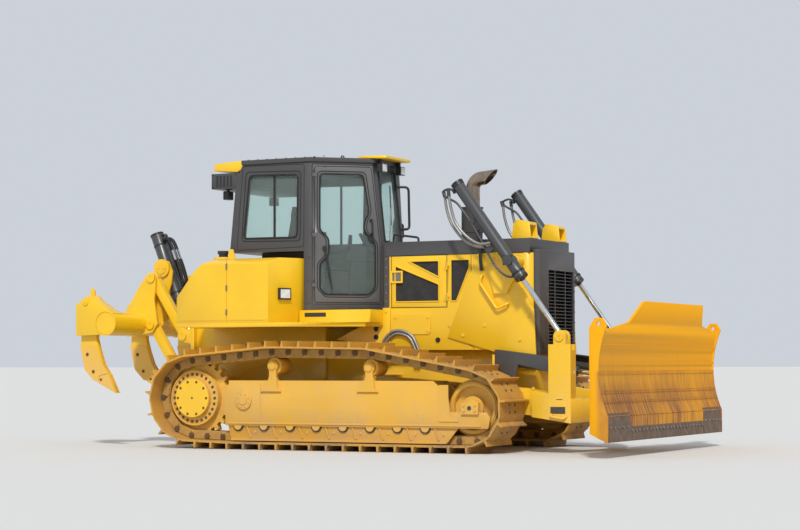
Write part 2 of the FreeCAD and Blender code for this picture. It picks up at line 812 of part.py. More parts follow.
def make_hood():
    skin = s.hood_skin
    top_outline = (
        (-s.hood_half, s.hood_low),
        (-s.hood_half, s.hood_top),
        (s.hood_half, s.hood_top),
        (s.hood_half, s.hood_low),
        (s.hood_half - skin, s.hood_low),
        (s.hood_half - skin, s.hood_top - skin),
        (-s.hood_half + skin, s.hood_top - skin),
        (-s.hood_half + skin, s.hood_low),
    )
    top = front_prism("hood_solid", top_outline, s.hood_rear, s.nose_rear)
    inner = s.hood_half - skin
    end = box("hood_end", (s.nose_rear - skin, s.nose_rear), (-s.hood_half, s.hood_half),
              (s.hood_low, s.hood_top))
    bulkhead = box("hood_bulkhead", (s.hood_rear, s.hood_rear + 15), (-s.hood_half, s.hood_half),
                   (s.panel_low, s.hood_top - 5))
    strip = box("hood_strip", (s.hood_rear, s.panel_rear), (-s.hood_half, -inner),
                (s.panel_low, s.hood_low + 1))
    # The cowl's rear corners are cut back to let the opening cab doors pass.
    cowl_rear = s.cab_front_low + s.seat_gap
    cowl_front = s.hood_rear + 1
    cowl_outline = (
        (cowl_rear, -s.cowl_rear_half),
        (s.cowl_corner_ahead, -s.cowl_half),
        (cowl_front, -s.cowl_half),
        (cowl_front, s.cowl_half),
        (s.cowl_corner_ahead, s.cowl_half),
        (cowl_rear, s.cowl_rear_half),
    )
    cowl_inner_half = s.cowl_half - s.cowl_skin
    cowl_inner_rear = s.cowl_rear_half - s.cowl_slant_skin
    cowl_inner_corner = s.cowl_corner_ahead + s.cowl_corner_step
    cowl_hollow = (
        (cowl_rear, -cowl_inner_rear),
        (cowl_inner_corner, -cowl_inner_half),
        (cowl_front, -cowl_inner_half),
        (cowl_front, cowl_inner_half),
        (cowl_inner_corner, cowl_inner_half),
        (cowl_rear, cowl_inner_rear),
    )
    cowl_low = s.cab_floor + 20
    cowl_top = s.hood_top - 10
    cowl = cut("cowl", plan_prism("cowl_solid", cowl_outline, cowl_low, cowl_top),
               [plan_prism("cowl_room", cowl_hollow, cowl_low - 1, cowl_top - s.cowl_skin)])
    hole = rod_z("exhaust_hole", s.exhaust_ahead, s.exhaust_across, s.muffler_radius + s.panel_gap,
                 s.hood_top - skin - 10, s.hood_top + 10)
    solid = fuse("hood_block", [top, end, bulkhead, strip, mirror("hood_strip_left", strip), cowl])
    keep("hood", cut("hood_cut", solid, [hole]))

    panel_outline = (
        (s.panel_rear + s.seat_gap, s.panel_low),
        (s.panel_rear + s.seat_gap, s.hood_low),
        (s.corner_ahead, s.hood_low),
        (s.corner_ahead, s.nose_bottom),
        (s.nose_rear - 380, s.nose_bottom + 20),
        (s.nose_rear - 380, s.panel_low),
    )
    panel = side_prism("side_panel", panel_outline, inner, s.hood_half)
    corner = plan_prism("panel_corner", (
        (s.corner_ahead, -s.hood_half),
        (s.nose_rear + 20, -s.nose_half - s.seat_gap),
        (s.nose_rear - 5, -s.nose_half - s.seat_gap),
        (s.corner_ahead, -inner),
    ), s.nose_bottom, s.hood_low, {0: (s.corner_radius, 1)})
    door_hole = box("side_door_hole", (s.side_door_rear - s.panel_gap, s.side_door_front + s.panel_gap),
                    (-s.hood_half - 5, -inner + 5), (s.side_door_low - s.panel_gap, s.hood_low + 5))
    window = (
        (s.side_door_front + 45, s.side_door_low + 60),
        (s.side_door_front + 45, s.hood_low - 55),
        (s.side_door_front + 260, s.hood_low - 55),
        (s.side_door_front + 260, s.hood_low - 140),
        (s.side_door_front + 110, s.side_door_low + 60),
    )
    window = side_prism("front_window", window, inner - 5, s.hood_half + 5)
    ledge = box("panel_ledge", (s.panel_rear + s.seat_gap, s.nose_rear - 380),
                (-inner - 1, -s.engine_half - s.panel_gap),
                (s.rail_top, s.rail_top + 20))
    gusset = side_prism("panel_gusset", (
        (s.gusset_rear, s.deck_bottom - 132),
        (s.gusset_rear + 280, s.deck_bottom - s.seat_gap),
        (s.hood_rear, s.deck_bottom - s.seat_gap),
        (s.hood_rear, s.side_door_low),
        (s.panel_rear + 15, s.side_door_low),
        (s.panel_rear + 15, s.panel_low),
    ), s.hood_half, s.hood_half + 20)
    knuckles = []
    across = s.hood_half + s.knuckle_radius
    for index, low in enumerate((s.side_door_low + 60, s.hood_low - 160)):
        from_low = size(low) + 40 + s.seat_gap
        knuckles.append(rod_z("panel_knuckle_%d" % index, s.side_door_front + s.panel_gap / 2, -across,
                              s.knuckle_radius, from_low, from_low + 40))
        knuckles.append(box("panel_leaf_%d" % index,
                            (s.side_door_front + s.panel_gap, s.side_door_front + s.panel_gap + 40),
                            (-s.hood_half - 6, -s.hood_half + 1), (from_low, from_low + 40)))
    panel = fuse("side_panel_solid", [cut("side_panel_cut", panel, [door_hole, window]), corner, ledge,
                                      gusset] + knuckles)
    keep("side_panels", both("side_panel_pair", panel))

    cheek = (
        (3121, s.hood_low),
        (3374, s.hood_low + 10),
        (3599, 1733),
        (3713, 1515),
        (3753, 1472),
        (3778, s.nose_bottom),
        (3340, s.nose_bottom + 20),
        (2772, 1183),
    )
    plate = side_prism("cheek_plate", cheek, s.hood_half, s.cheek_outer)
    boss = rod_y("trunnion_boss", s.trunnion_ahead, s.trunnion_height, 62, s.cheek_outer - 2,
                 s.lift_spacing / 2 - s.lift_barrel_radius - 7 - s.seat_gap)
    arm = side_prism("trunnion_arm", (
        (s.trunnion_ahead - 260, s.trunnion_height - 330),
        (s.trunnion_ahead - 330, s.trunnion_height - 60),
        (s.trunnion_ahead - 60, s.trunnion_height + 62),
        (s.trunnion_ahead + 62, s.trunnion_height),
        (s.trunnion_ahead + 30, s.trunnion_height - 70),
        (s.trunnion_ahead - 120, s.trunnion_height - 330),
    ), s.hood_half + 4, s.cheek_outer + 40)
    keep("cheeks", both("cheek_pair", fuse("cheek_solid", [plate, boss, arm])))


def make_nose():
    shell = plan_prism("nose_block", (
        (s.nose_rear, -s.nose_half),
        (s.nose_chamfer_ahead - 45, -s.nose_half),
        (s.nose_chamfer_ahead, -s.nose_half + 15),
        (s.nose_front, -s.nose_face_half),
        (s.nose_front, s.nose_face_half),
        (s.nose_chamfer_ahead, s.nose_half - 15),
        (s.nose_chamfer_ahead - 45, s.nose_half),
        (s.nose_rear, s.nose_half),
    ), s.nose_bottom, s.nose_top)
    hollow = box("nose_hollow", (s.nose_rear - 5, s.nose_front - 60),
                 (-s.nose_half + 30, s.nose_half - 30), (s.nose_bottom - 5, s.nose_top - 25))
    opening = box("nose_opening", (s.nose_front - 70, s.nose_front + 5),
                  (-s.grille_half, s.grille_half), (s.grille_low, s.grille_high))
    keep("nose", cut("nose_cut", shell, [hollow, opening]))
    slats = []
    count = int(round(float(s.louvre_count)))
    pitch = (s.grille_high - s.grille_low) / count
    half = s.grille_half - s.seat_gap
    for index in range(count):
        low = s.grille_low + pitch * index + 3
        profile = (
            (s.nose_front - 50, low + pitch * 0.45),
            (s.nose_front - 12, low),
            (s.nose_front - 12, low + 6),
            (s.nose_front - 50, low + pitch * 0.45 + 6),
        )
        slats.append(side_prism("slat_%d" % index, profile, -half, half))
    for index, across in enumerate((-s.grille_bar, s.grille_bar)):
        slats.append(box("slat_bar_%d" % index, (s.nose_front - 48, s.nose_front - 14),
                         (across - 9, across + 9), (s.grille_low + s.seat_gap, s.grille_high - s.seat_gap)))
    keep("grille", fuse("grille_solid", slats))
    lamp = (
        (3480, s.hood_top),
        (3500, s.hood_top + 150),
        (3540, s.hood_top + 200),
        (3680, s.hood_top + 170),
        (3700, s.hood_top),
    )
    outer = side_prism("lamp_guard_block", lamp, 290, 490)
    inside = box("lamp_guard_hollow", (3530, 3720), (-470, -310), (s.hood_top + 20, s.hood_top + 140))
    keep("lamp_guards", both("lamp_guard_pair", cut("lamp_guard_cut", outer, [inside])))


def make_exhaust():
    muffler = rod_z("muffler", s.exhaust_ahead, s.exhaust_across, s.muffler_radius, s.engine_top,
                    s.muffler_top)
    pipe = rod_z("exhaust_pipe", s.pipe_ahead, s.exhaust_across, s.pipe_radius, s.muffler_top - 5,
                 s.bend_height)
    turn = 85.0
    foot = FreeCAD.Vector(float(s.pipe_ahead), float(s.exhaust_across), float(s.bend_height))
    bend = FreeCAD.Vector(float(s.bend_radius), 0, 0)
    disc = Part.Face(Part.Wire(Part.Circle(foot, FreeCAD.Vector(0, 0, 1), float(s.pipe_radius)).toShape()))
    elbow = disc.revolve(foot + bend, FreeCAD.Vector(0, 1, 0), turn)
    angle = math.radians(turn)
    mouth = foot + FreeCAD.Vector(bend.x * (1 - math.cos(angle)), 0, bend.x * math.sin(angle))
    heading = FreeCAD.Vector(math.sin(angle), 0, math.cos(angle))
    elbow = elbow.fuse(Part.makeCylinder(float(s.pipe_radius), 230, mouth, heading))
    bore = Part.makeCylinder(float(s.pipe_radius) - 7, 260, mouth + heading * 30, heading)
    slant = side_prism("exhaust_slant", (
        (s.pipe_ahead + 113, s.bend_height + 9),
        (s.pipe_ahead + 318, s.bend_height + 239),
        (s.pipe_ahead + 480, s.bend_height + 239),
        (s.pipe_ahead + 480, s.bend_height - 90),
        (s.pipe_ahead + 250, s.bend_height - 90),
    ), -s.exhaust_across - 100, -s.exhaust_across + 100)
    bend_solid = cut("exhaust_mouth", feature("exhaust_elbow", elbow), [feature("exhaust_bore", bore), slant])
    keep("exhaust", fuse("exhaust_solid", [muffler, pipe, bend_solid]))


def cab_outline(inset, rear, front):
    """The hexagonal plan of the cab, moved in by a wall."""
    slope = root((s.cab_front_low - s.cab_corner) * (s.cab_front_low - s.cab_corner)
                 + (s.cab_half - s.cab_front_half) * (s.cab_half - s.cab_front_half))
    shift = size(inset) * slope / (s.cab_front_low - s.cab_corner)
    lean = (s.cab_half - s.cab_front_half) / (s.cab_front_low - s.cab_corner)
    half = s.cab_half - inset
    corner = s.cab_corner - (shift - inset) / lean
    front_half = s.cab_front_half - shift + (s.cab_front_low - front) * lean
    return ((rear, -half), (corner, -half), (front, -front_half), (front, front_half), (corner, half),
            (rear, half))


def door_turn():
    angle = math.degrees(math.atan2(float(s.cab_half - s.cab_front_half),
                                    float(s.cab_front_low - s.cab_corner)))
    return FreeCAD.Rotation(FreeCAD.Vector(0, 0, 1), angle)


def door_length():
    return root((s.cab_front_low - s.cab_corner) * (s.cab_front_low - s.cab_corner)
                + (s.cab_half - s.cab_front_half) * (s.cab_half - s.cab_front_half))


def door_profile(margin):
    """The door in its own plane: length from the hinge, height above ground."""
    length = door_length()
    return (
        (25 - size(margin), s.door_low - margin),
        (25 - size(margin), s.door_high + margin),
        (length - 126 + margin, s.door_high + margin),
        (length - 25 + margin, s.cab_knee),
        (length - 25 + margin, s.door_low - margin),
    )


def door_window(margin):
    """The door's waisted glass opening in the same plane."""
    length = door_length()
    low = s.door_low
    margin = size(margin)
    return (
        (156, low + 104 - margin),
        (100 - margin, low + 168),
        (100 - margin, low + 437),
        (199 - margin, low + 535),
        (199 - margin, low + 708),
        (100 - margin, low + 792),
        (100 - margin, s.door_high - 100 + margin),
        (length - 233 + margin, s.door_high - 100 + margin),
        (length - 165 + margin, low + 986),
        (length - 221 + margin, low + 887),
        (length - 221 + margin, low + 790),
        (length - 98 + margin, low + 662),
        (length - 98 + margin, low + 174),
        (length - 164, low + 104 - margin),
    )


def hinge_knuckles(name, face, foot, lift):
    """Three round knuckles and their leaves in the door's own plane, on the outer face."""
    pieces = []
    for index, low in enumerate((s.door_low + 180, s.door_low + 720, s.door_high - 130)):
        base = size(low) + lift
        pieces.append(rod_z("%s_knuckle_%d" % (name, index), s.hinge_in, size(face) - s.knuckle_radius,
                            s.knuckle_radius, base, base + 40))
        leaf = (s.hinge_in, foot) if float(foot) > float(s.hinge_in) else (foot, s.hinge_in)
        pieces.append(box("%s_leaf_%d" % (name, index), leaf, (size(face) - 6, size(face) + 1),
                          (base, base + 40)))
    return group(name + "_hinges", pieces)


def cab_rear(height):
    """How far ahead the cab's rear edge lies at a height."""
    if float(height) < float(s.cab_middle_height):
        share = (size(height) - s.cab_step) / (s.cab_middle_height - s.cab_step)
        return s.cab_rear_low + share * (s.cab_rear_middle - s.cab_rear_low)
    share = (size(height) - s.cab_middle_height) / (s.cab_top - s.cab_middle_height)
    return s.cab_rear_middle + share * (s.cab_rear_high - s.cab_rear_middle)


def side_window(margin):
    """The cab's side window, moved in by a margin."""
    margin = size(margin)
    return (
        (416 + margin, s.cab_step + 156 + margin),
        (493 + margin, s.cab_top - 122 - margin),
        (1098 - margin, s.cab_top - 134 - margin),
        (1084 - margin, s.cab_step + 151 + margin),
    )


def make_cab():
    wall = s.cab_wall
    upper = plan_prism("cab_upper", cab_outline(0, s.cab_rear_low, s.cab_front_low),
                       s.cab_step, s.cab_top)
    front_half = s.cab_front_half
    lower = plan_prism("cab_lower", (
        (s.cab_neck_rear, -s.cab_neck_half),
        (s.cab_neck_front, -s.cab_neck_half),
        (s.cab_neck_front, -s.cab_half),
        (s.cab_corner, -s.cab_half),
        (s.cab_front_low, -front_half),
        (s.cab_front_low, front_half),
        (s.cab_corner, s.cab_half),
        (s.cab_neck_front, s.cab_half),
        (s.cab_neck_front, s.cab_neck_half),
        (s.cab_neck_rear, s.cab_neck_half),
    ), s.cab_floor, s.cab_step + 1)
    side = side_prism("cab_side", (
        (s.cab_rear_low, s.cab_step),
        (s.cab_rear_middle, s.cab_middle_height),
        (s.cab_rear_high, s.cab_top),
        (s.cab_front_high, s.cab_top),
        (s.cab_front_low, s.cab_knee),
        (s.cab_front_low, s.cab_floor),
        (s.cab_neck_rear, s.cab_floor),
        (s.cab_neck_rear, s.cab_step),
    ), -s.cab_half - 5, s.cab_half + 5)
    outside = common("cab_outside", [fuse("cab_block", [upper, lower]), side])
    upper_in = plan_prism("cab_upper_in", cab_outline(wall, s.cab_rear_low, s.cab_front_low),
                          s.cab_step + wall, s.cab_top - wall)
    neck_in = box("cab_neck_in", (s.cab_neck_rear + wall, s.cab_corner + 40), (-s.cab_neck_half + wall,
                  s.cab_neck_half - wall), (s.cab_floor + wall, s.cab_step + wall + 1))
    front_in = plan_prism("cab_front_in", cab_outline(wall, s.cab_neck_front + wall, s.cab_front_low),
                          s.cab_floor + wall, s.cab_step + wall + 1)
    side_in = side_prism("cab_side_in", (
        (s.cab_rear_low + wall, s.cab_step),
        (s.cab_rear_middle + wall, s.cab_middle_height),
        (s.cab_rear_high + wall, s.cab_top),
        (s.cab_front_high - wall, s.cab_top),
        (s.cab_front_low - wall, s.cab_knee),
        (s.cab_front_low - wall, s.cab_floor),
        (s.cab_neck_rear + wall, s.cab_floor),
        (s.cab_neck_rear + wall, s.cab_step),
    ), -s.cab_half, s.cab_half)
    inside = common("cab_inside", [fuse("cab_room", [upper_in, neck_in, front_in]), side_in])
    windows = [side_prism("side_window_hole", side_window(0), -s.cab_half - 10, s.cab_half + 10)]
    windows.append(box("front_window_hole", (s.cab_front_high - wall - 60, s.cab_front_low + 20),
                       (-s.cab_window_half, s.cab_window_half), (s.hood_top + 30, s.cab_top - 70)))
    windows.append(box("rear_window_hole", (s.cab_rear_low - 20, s.cab_rear_high + wall + 60),
                       (-s.cab_half + 130, s.cab_half - 130), (s.cab_step + 110, s.cab_middle_height - 13)))
    door_hole = side_prism("door_hole", door_profile(s.panel_gap), -60, 160)
    place(door_hole, s.cab_corner, -s.cab_half, 0, door_turn())
    holes = windows + [door_hole, mirror("door_hole_left", door_hole)]
    hinges = hinge_knuckles("cab_frame", 0, 4, 40 + s.seat_gap)
    place(hinges, s.cab_corner, -s.cab_half, 0, door_turn())
    keep("cab_shell", fuse("cab_shell_solid", [cut("cab_cut", outside, [inside] + holes), hinges,
                                               mirror("cab_frame_hinges_left", hinges)]))

    roof_outline = cab_outline(-15, s.cab_rear_high - 10, s.cab_front_high + 20)
    keep("cab_roof", plan_prism("roof_solid", roof_outline, s.cab_top, s.cab_top + s.roof_thickness))


def make_cab_doors():
    door = side_prism("door_plate", door_profile(0), 0, s.door_thickness)
    hole = side_prism("door_glass_hole", door_window(0), -5, s.door_thickness + 5)
    door = fuse("door_solid", [cut("door_plate_cut", door, [hole]),
                               hinge_knuckles("cab_door", -s.door_thickness, s.hinge_in + 40, 0)])
    glass = side_prism("door_pane", door_window(-s.seat_gap), s.door_thickness / 2 - 4,
                       s.door_thickness / 2 + 4)
    slope = door_length()
    for name, solid in (("cab_door", door), ("door_glass", glass)):
        # The outer face lies in the cab's slanted side, so the plate grows inwards from it.
        inward_x = (s.cab_half - s.cab_front_half) / slope * s.door_thickness
        inward_y = (s.cab_front_low - s.cab_corner) / slope * s.door_thickness
        place(solid, s.cab_corner - inward_x - s.origin_ahead, -s.cab_half + inward_y, 0, door_turn())
        keep(name + "_right", solid, shifted=False)
        keep(name + "_left", mirror(name + "_mirror", solid), shifted=False)


def make_side_doors():
    inner = s.hood_half - s.hood_skin
    plate = box("side_door_plate", (s.side_door_rear, s.side_door_front), (-s.hood_half, -inner),
                (s.side_door_low, s.hood_low - s.panel_gap))
    upper = (
        (s.side_door_rear + 200, s.hood_low - 60),
        (s.side_door_front - 95, s.hood_low - 60),
        (s.side_door_front - 95, s.hood_low - 235),
    )
    lower = (
        (s.side_door_rear + 50, s.side_door_low + 60),
        (s.side_door_rear + 50, s.hood_low - 105),
        (s.side_door_front - 95, s.hood_low - 310),
        (s.side_door_front - 95, s.side_door_low + 60),
    )
    holes = [side_prism("side_door_hole_%d" % index, profile, inner - 5, s.hood_half + 5)
             for index, profile in enumerate((upper, lower))]
    across = s.hood_half + s.knuckle_radius
    knuckles = []
    for index, low in enumerate((s.side_door_low + 60, s.hood_low - 160)):
        knuckles.append(rod_z("side_door_knuckle_%d" % index, s.side_door_front + s.panel_gap / 2, -across,
                              s.knuckle_radius, low, size(low) + 40))
        knuckles.append(box("side_door_leaf_%d" % index, (s.side_door_front - 40, s.side_door_front),
                            (-s.hood_half - 6, -s.hood_half + 1), (low, size(low) + 40)))
    keep_pair("engine_door", fuse("side_door_solid", [cut("side_door_cut", plate, holes)] + knuckles))


def make_tanks():
    side = side_prism("tank_side", (
        (s.tank_rear, s.deck_bottom + s.deck_plate),
        (s.tank_rear + 3, s.deck_bottom + 330),
        (s.tank_rear + 236, s.tank_top - 119),
        (s.tank_rear + 359, s.tank_top - 27),
        (s.tank_rear + 460, s.tank_top),
        (s.tank_front, s.tank_top),
        (s.tank_front, s.deck_bottom + s.deck_plate),
    ), s.tank_inner, s.tank_outer)
    plan = plan_prism("tank_plan", (
        (s.tank_rear, -s.tank_inner),
        (s.tank_front, -s.tank_inner),
        (s.tank_front, -s.tank_front_outer),
        (s.tank_facet, -s.tank_outer),
        (s.tank_rear, -s.tank_outer),
    ), s.deck_bottom, s.tank_top + 10)
    bevel = front_prism("tank_bevel", (
        (-s.tank_inner, s.deck_bottom),
        (-s.tank_inner, s.tank_top),
        (-s.tank_outer + 140, s.tank_top),
        (-s.tank_outer, s.tank_top - 60),
        (-s.tank_outer, s.deck_bottom),
    ), s.tank_rear - 5, s.tank_front + 5)
    keep_pair("tank", common("tank_solid", [side, plan, bevel]))

    deck = plan_prism("deck_plate_solid", (
        (s.tank_rear, -s.case_half + 60),
        (s.deck_front, -s.case_half + 60),
        (s.deck_front, -s.hood_half - 30),
        (s.deck_front - 60, -s.cab_half - 60),
        (s.tank_front, -s.tank_outer),
        (s.tank_rear, -s.tank_outer),
    ), s.deck_bottom, s.deck_bottom + s.deck_plate)
    step = plan_prism("deck_step", (
        (s.tank_front + 10, -s.tank_inner),
        (s.deck_front, -s.tank_inner),
        (s.deck_front, -s.cab_half - 60),
        (s.tank_front + 10, -s.cab_half - 60),
    ), s.deck_bottom + s.deck_plate - 1, s.cab_floor)
    keep("decks", both("deck_pair", fuse("deck_solid", [deck, step])))


def make_seat():
    keep("seat", fuse("seat_solid", [
        box("seat_cushion", (720, 1200), (-250, 250), (1930, 2060)),
        box("seat_back", (640, 760), (-240, 240), (1930, 2640)),
    ]))
    keep("seat_base", box("seat_base_solid", (740, 1180), (-200, 200), (s.cab_floor + s.cab_wall, 1930)))


def make_blade_frame():
    arm_outline = (
        (s.lift_pivot_ahead - 110, s.lift_pivot_height - 80),
        (s.lift_pivot_ahead - 110, s.lift_pivot_height + 80),
        (s.lift_pivot_ahead, s.lift_pivot_height + 125),
        (3730, 654),
        (s.post_front, 563),
        (s.post_front, 304),
        (3747, 381),
        (s.lift_pivot_ahead, s.lift_pivot_height - 125),
    )
    arm = side_prism("arm", arm_outline, s.arm_inner, s.arm_outer)
    bore = rod_y("arm_bore", s.lift_pivot_ahead, s.lift_pivot_height, s.lift_pivot_radius + s.seat_gap,
                 s.arm_inner - 5, s.arm_outer + 5)
    wing = side_prism("arm_wing", (
        (s.wing_rear, 366),
        (s.wing_rear, 634),
        (s.post_front, 563),
        (s.post_front, 304),
    ), s.arm_outer - 5, s.post_outer)
    post = box("post", (s.post_rear, s.post_front), (-s.post_outer, -s.post_inner), (550, s.post_top))
    lug = rod_y("post_lug", s.lift_eye_ahead, s.lift_eye_height, 65, s.post_inner, s.post_outer)
    lug_foot = box("post_lug_foot", (s.lift_eye_ahead - 65, s.lift_eye_ahead + 65),
                   (-s.post_outer, -s.post_inner), (s.post_top - 5, s.lift_eye_height))
    slot = box("post_slot", (s.post_rear - 5, s.post_front + 5),
               (-s.lift_spacing / 2 - 35, -s.lift_spacing / 2 + 35), (1040, 1300))
    lug_base = box("angle_lug", (s.angle_pin_ahead - 80, s.angle_pin_ahead + 60),
                   (-s.angle_offset - 50, -s.angle_offset + 50), (660, s.angle_pin_height + 68))
    lug_slot = box("angle_lug_slot", (s.angle_pin_ahead - 85, s.angle_pin_ahead + 65),
                   (-s.angle_offset - 36, -s.angle_offset + 36),
                   (s.angle_pin_height - 60, s.angle_pin_height + 80))
    side = cut("blade_frame_cut", fuse("blade_frame_side", [arm, wing, post, lug, lug_foot, lug_base]),
               [bore, slot, lug_slot])
    lug_pin = rod_y("angle_lug_pin", s.angle_pin_ahead, s.angle_pin_height, s.small_pin,
                    s.angle_offset - 48, s.angle_offset + 48)
    half = fuse("blade_frame_half", [side, lug_pin])
    vee = plan_prism("blade_frame_vee", (
        (s.post_front - 160, -s.post_inner),
        (s.post_front, -s.post_outer),
        (s.ball_ahead - 100, -130),
        (s.ball_ahead - 100, 130),
        (s.post_front, s.post_outer),
        (s.post_front - 160, s.post_inner),
        (s.ball_ahead - 290, 130),
        (s.ball_ahead - 290, -130),
    ), 315, 550)
    socket = fuse("ball_socket", [
        box("socket_block", (s.ball_ahead - 170, s.ball_ahead), (-s.ball_radius, s.ball_radius),
            (s.ball_height - 125, s.ball_height + 125)),
        rod_z("socket_round", s.ball_ahead, 0, s.ball_radius, s.ball_height - 125, s.ball_height + 125),
    ])
    socket_slot = box("socket_slot", (s.ball_ahead - s.ball_radius - 5, s.ball_ahead + 150),
                      (-150, 150), (s.ball_height - 80, s.ball_height + 80))
    pin = rod_z("ball_pin", s.ball_ahead, 0, 30, s.ball_height - 120, s.ball_height + 120)
    front = fuse("blade_frame_front", [cut("socket_cut", fuse("vee_and_socket", [vee, socket]),
                                           [socket_slot]), pin])
    keep("blade_frame", fuse("blade_frame_solid", [half, mirror("blade_frame_left", half), front]))

    slope = (s.angle_eye_height - s.angle_pin_height) / (s.ball_ahead - s.angle_pin_ahead)
    rear = s.angle_pin_ahead - 50
    front_end = s.post_rear + 30
    rear_height = s.angle_pin_height + slope * (rear - s.angle_pin_ahead)
    front_height = s.angle_pin_height + slope * (front_end - s.angle_pin_ahead)
    cover = side_prism("guard_cover", (
        (rear, rear_height + s.guard_rise - 10),
        (rear, rear_height + s.guard_rise),
        (front_end, front_height + s.guard_rise),
        (front_end, front_height + s.guard_rise - 10),
    ), s.arm_inner + 5, s.arm_outer)
    arm_slope = (654 - (s.lift_pivot_height + 125)) / (3730 - s.lift_pivot_ahead)

    def arm_top(ahead):
        return 654 + s.seat_gap + (size(ahead) - 3730) * arm_slope

    flank = side_prism("guard_flank", (
        (rear, arm_top(rear)),
        (rear, rear_height + s.guard_rise),
        (front_end, front_height + s.guard_rise),
        (front_end, front_height - 40),
        (front_end - 50, front_height - 40),
        (rear + 260, rear_height - 40),
        (rear + 210, arm_top(rear + 210)),
    ), s.arm_outer - 8, s.arm_outer)
    keep("cylinder_guards", both("guard_pair", fuse("guard_solid", [cover, flank])))


def make_yoke():
    bar = box("yoke_bar", (s.yoke_rear, s.yoke_front), (-s.yoke_half, s.yoke_half),
              (s.yoke_bottom, s.yoke_top))
    centre = rod_z("yoke_ball", s.ball_ahead, 0, s.ball_radius - 1, s.ball_height - 75, s.ball_height + 75)
    neck = box("yoke_neck", (s.ball_ahead, s.yoke_rear + 5), (-60, 60),
               (s.ball_height - 75, s.ball_height + 75))
    bore = rod_z("yoke_bore", s.ball_ahead, 0, 30 + s.seat_gap, s.ball_height - 90, s.ball_height + 90)
    pivot = rod_x("tilt_pivot", 0, s.ball_height, 50, s.yoke_front - 5, s.blade_back - 10)
    tower = fuse("yoke_tower", [
        box("yoke_tower_foot", (s.yoke_rear, s.yoke_front), (-60, 120), (s.yoke_top - 5, s.yoke_top + 40)),
        box("yoke_tower_head", (s.yoke_rear - 55, s.yoke_front), (-60, 120), (s.yoke_top + 30, s.tower_top)),
    ])
    tower_slot = box("yoke_tower_slot", (s.tilt_ahead - 30, s.tilt_ahead + 30), (0, 130),
                     (s.tilt_pin_height - 70, s.tower_top + 5))
    clevises = []
    for index, side in enumerate((-1, 1)):
        across = s.angle_offset * side
        clevises.append(box("yoke_upright_%d" % index, (s.yoke_rear, s.yoke_front),
                            (across - 60, across + 60), (s.yoke_top - 5, s.angle_eye_height + 66)))
        for level, low in enumerate((s.angle_eye_height - 66, s.angle_eye_height + 42)):
            clevises.append(box("yoke_lug_%d_%d" % (index, level), (s.ball_ahead - 60, s.yoke_rear + 5),
                                (across - 55, across + 55), (low, low + 24)))
    solid = fuse("yoke_block", [bar, centre, neck, pivot, tower] + clevises)
    tilt_pin = rod_x("tilt_pin", s.tilt_pin_across, s.tilt_pin_height, s.small_pin, s.yoke_rear - 50,
                     s.yoke_front - 5)
    keep("blade_yoke", fuse("yoke_solid", [cut("yoke_cut", solid, [bore, tower_slot]), tilt_pin]))


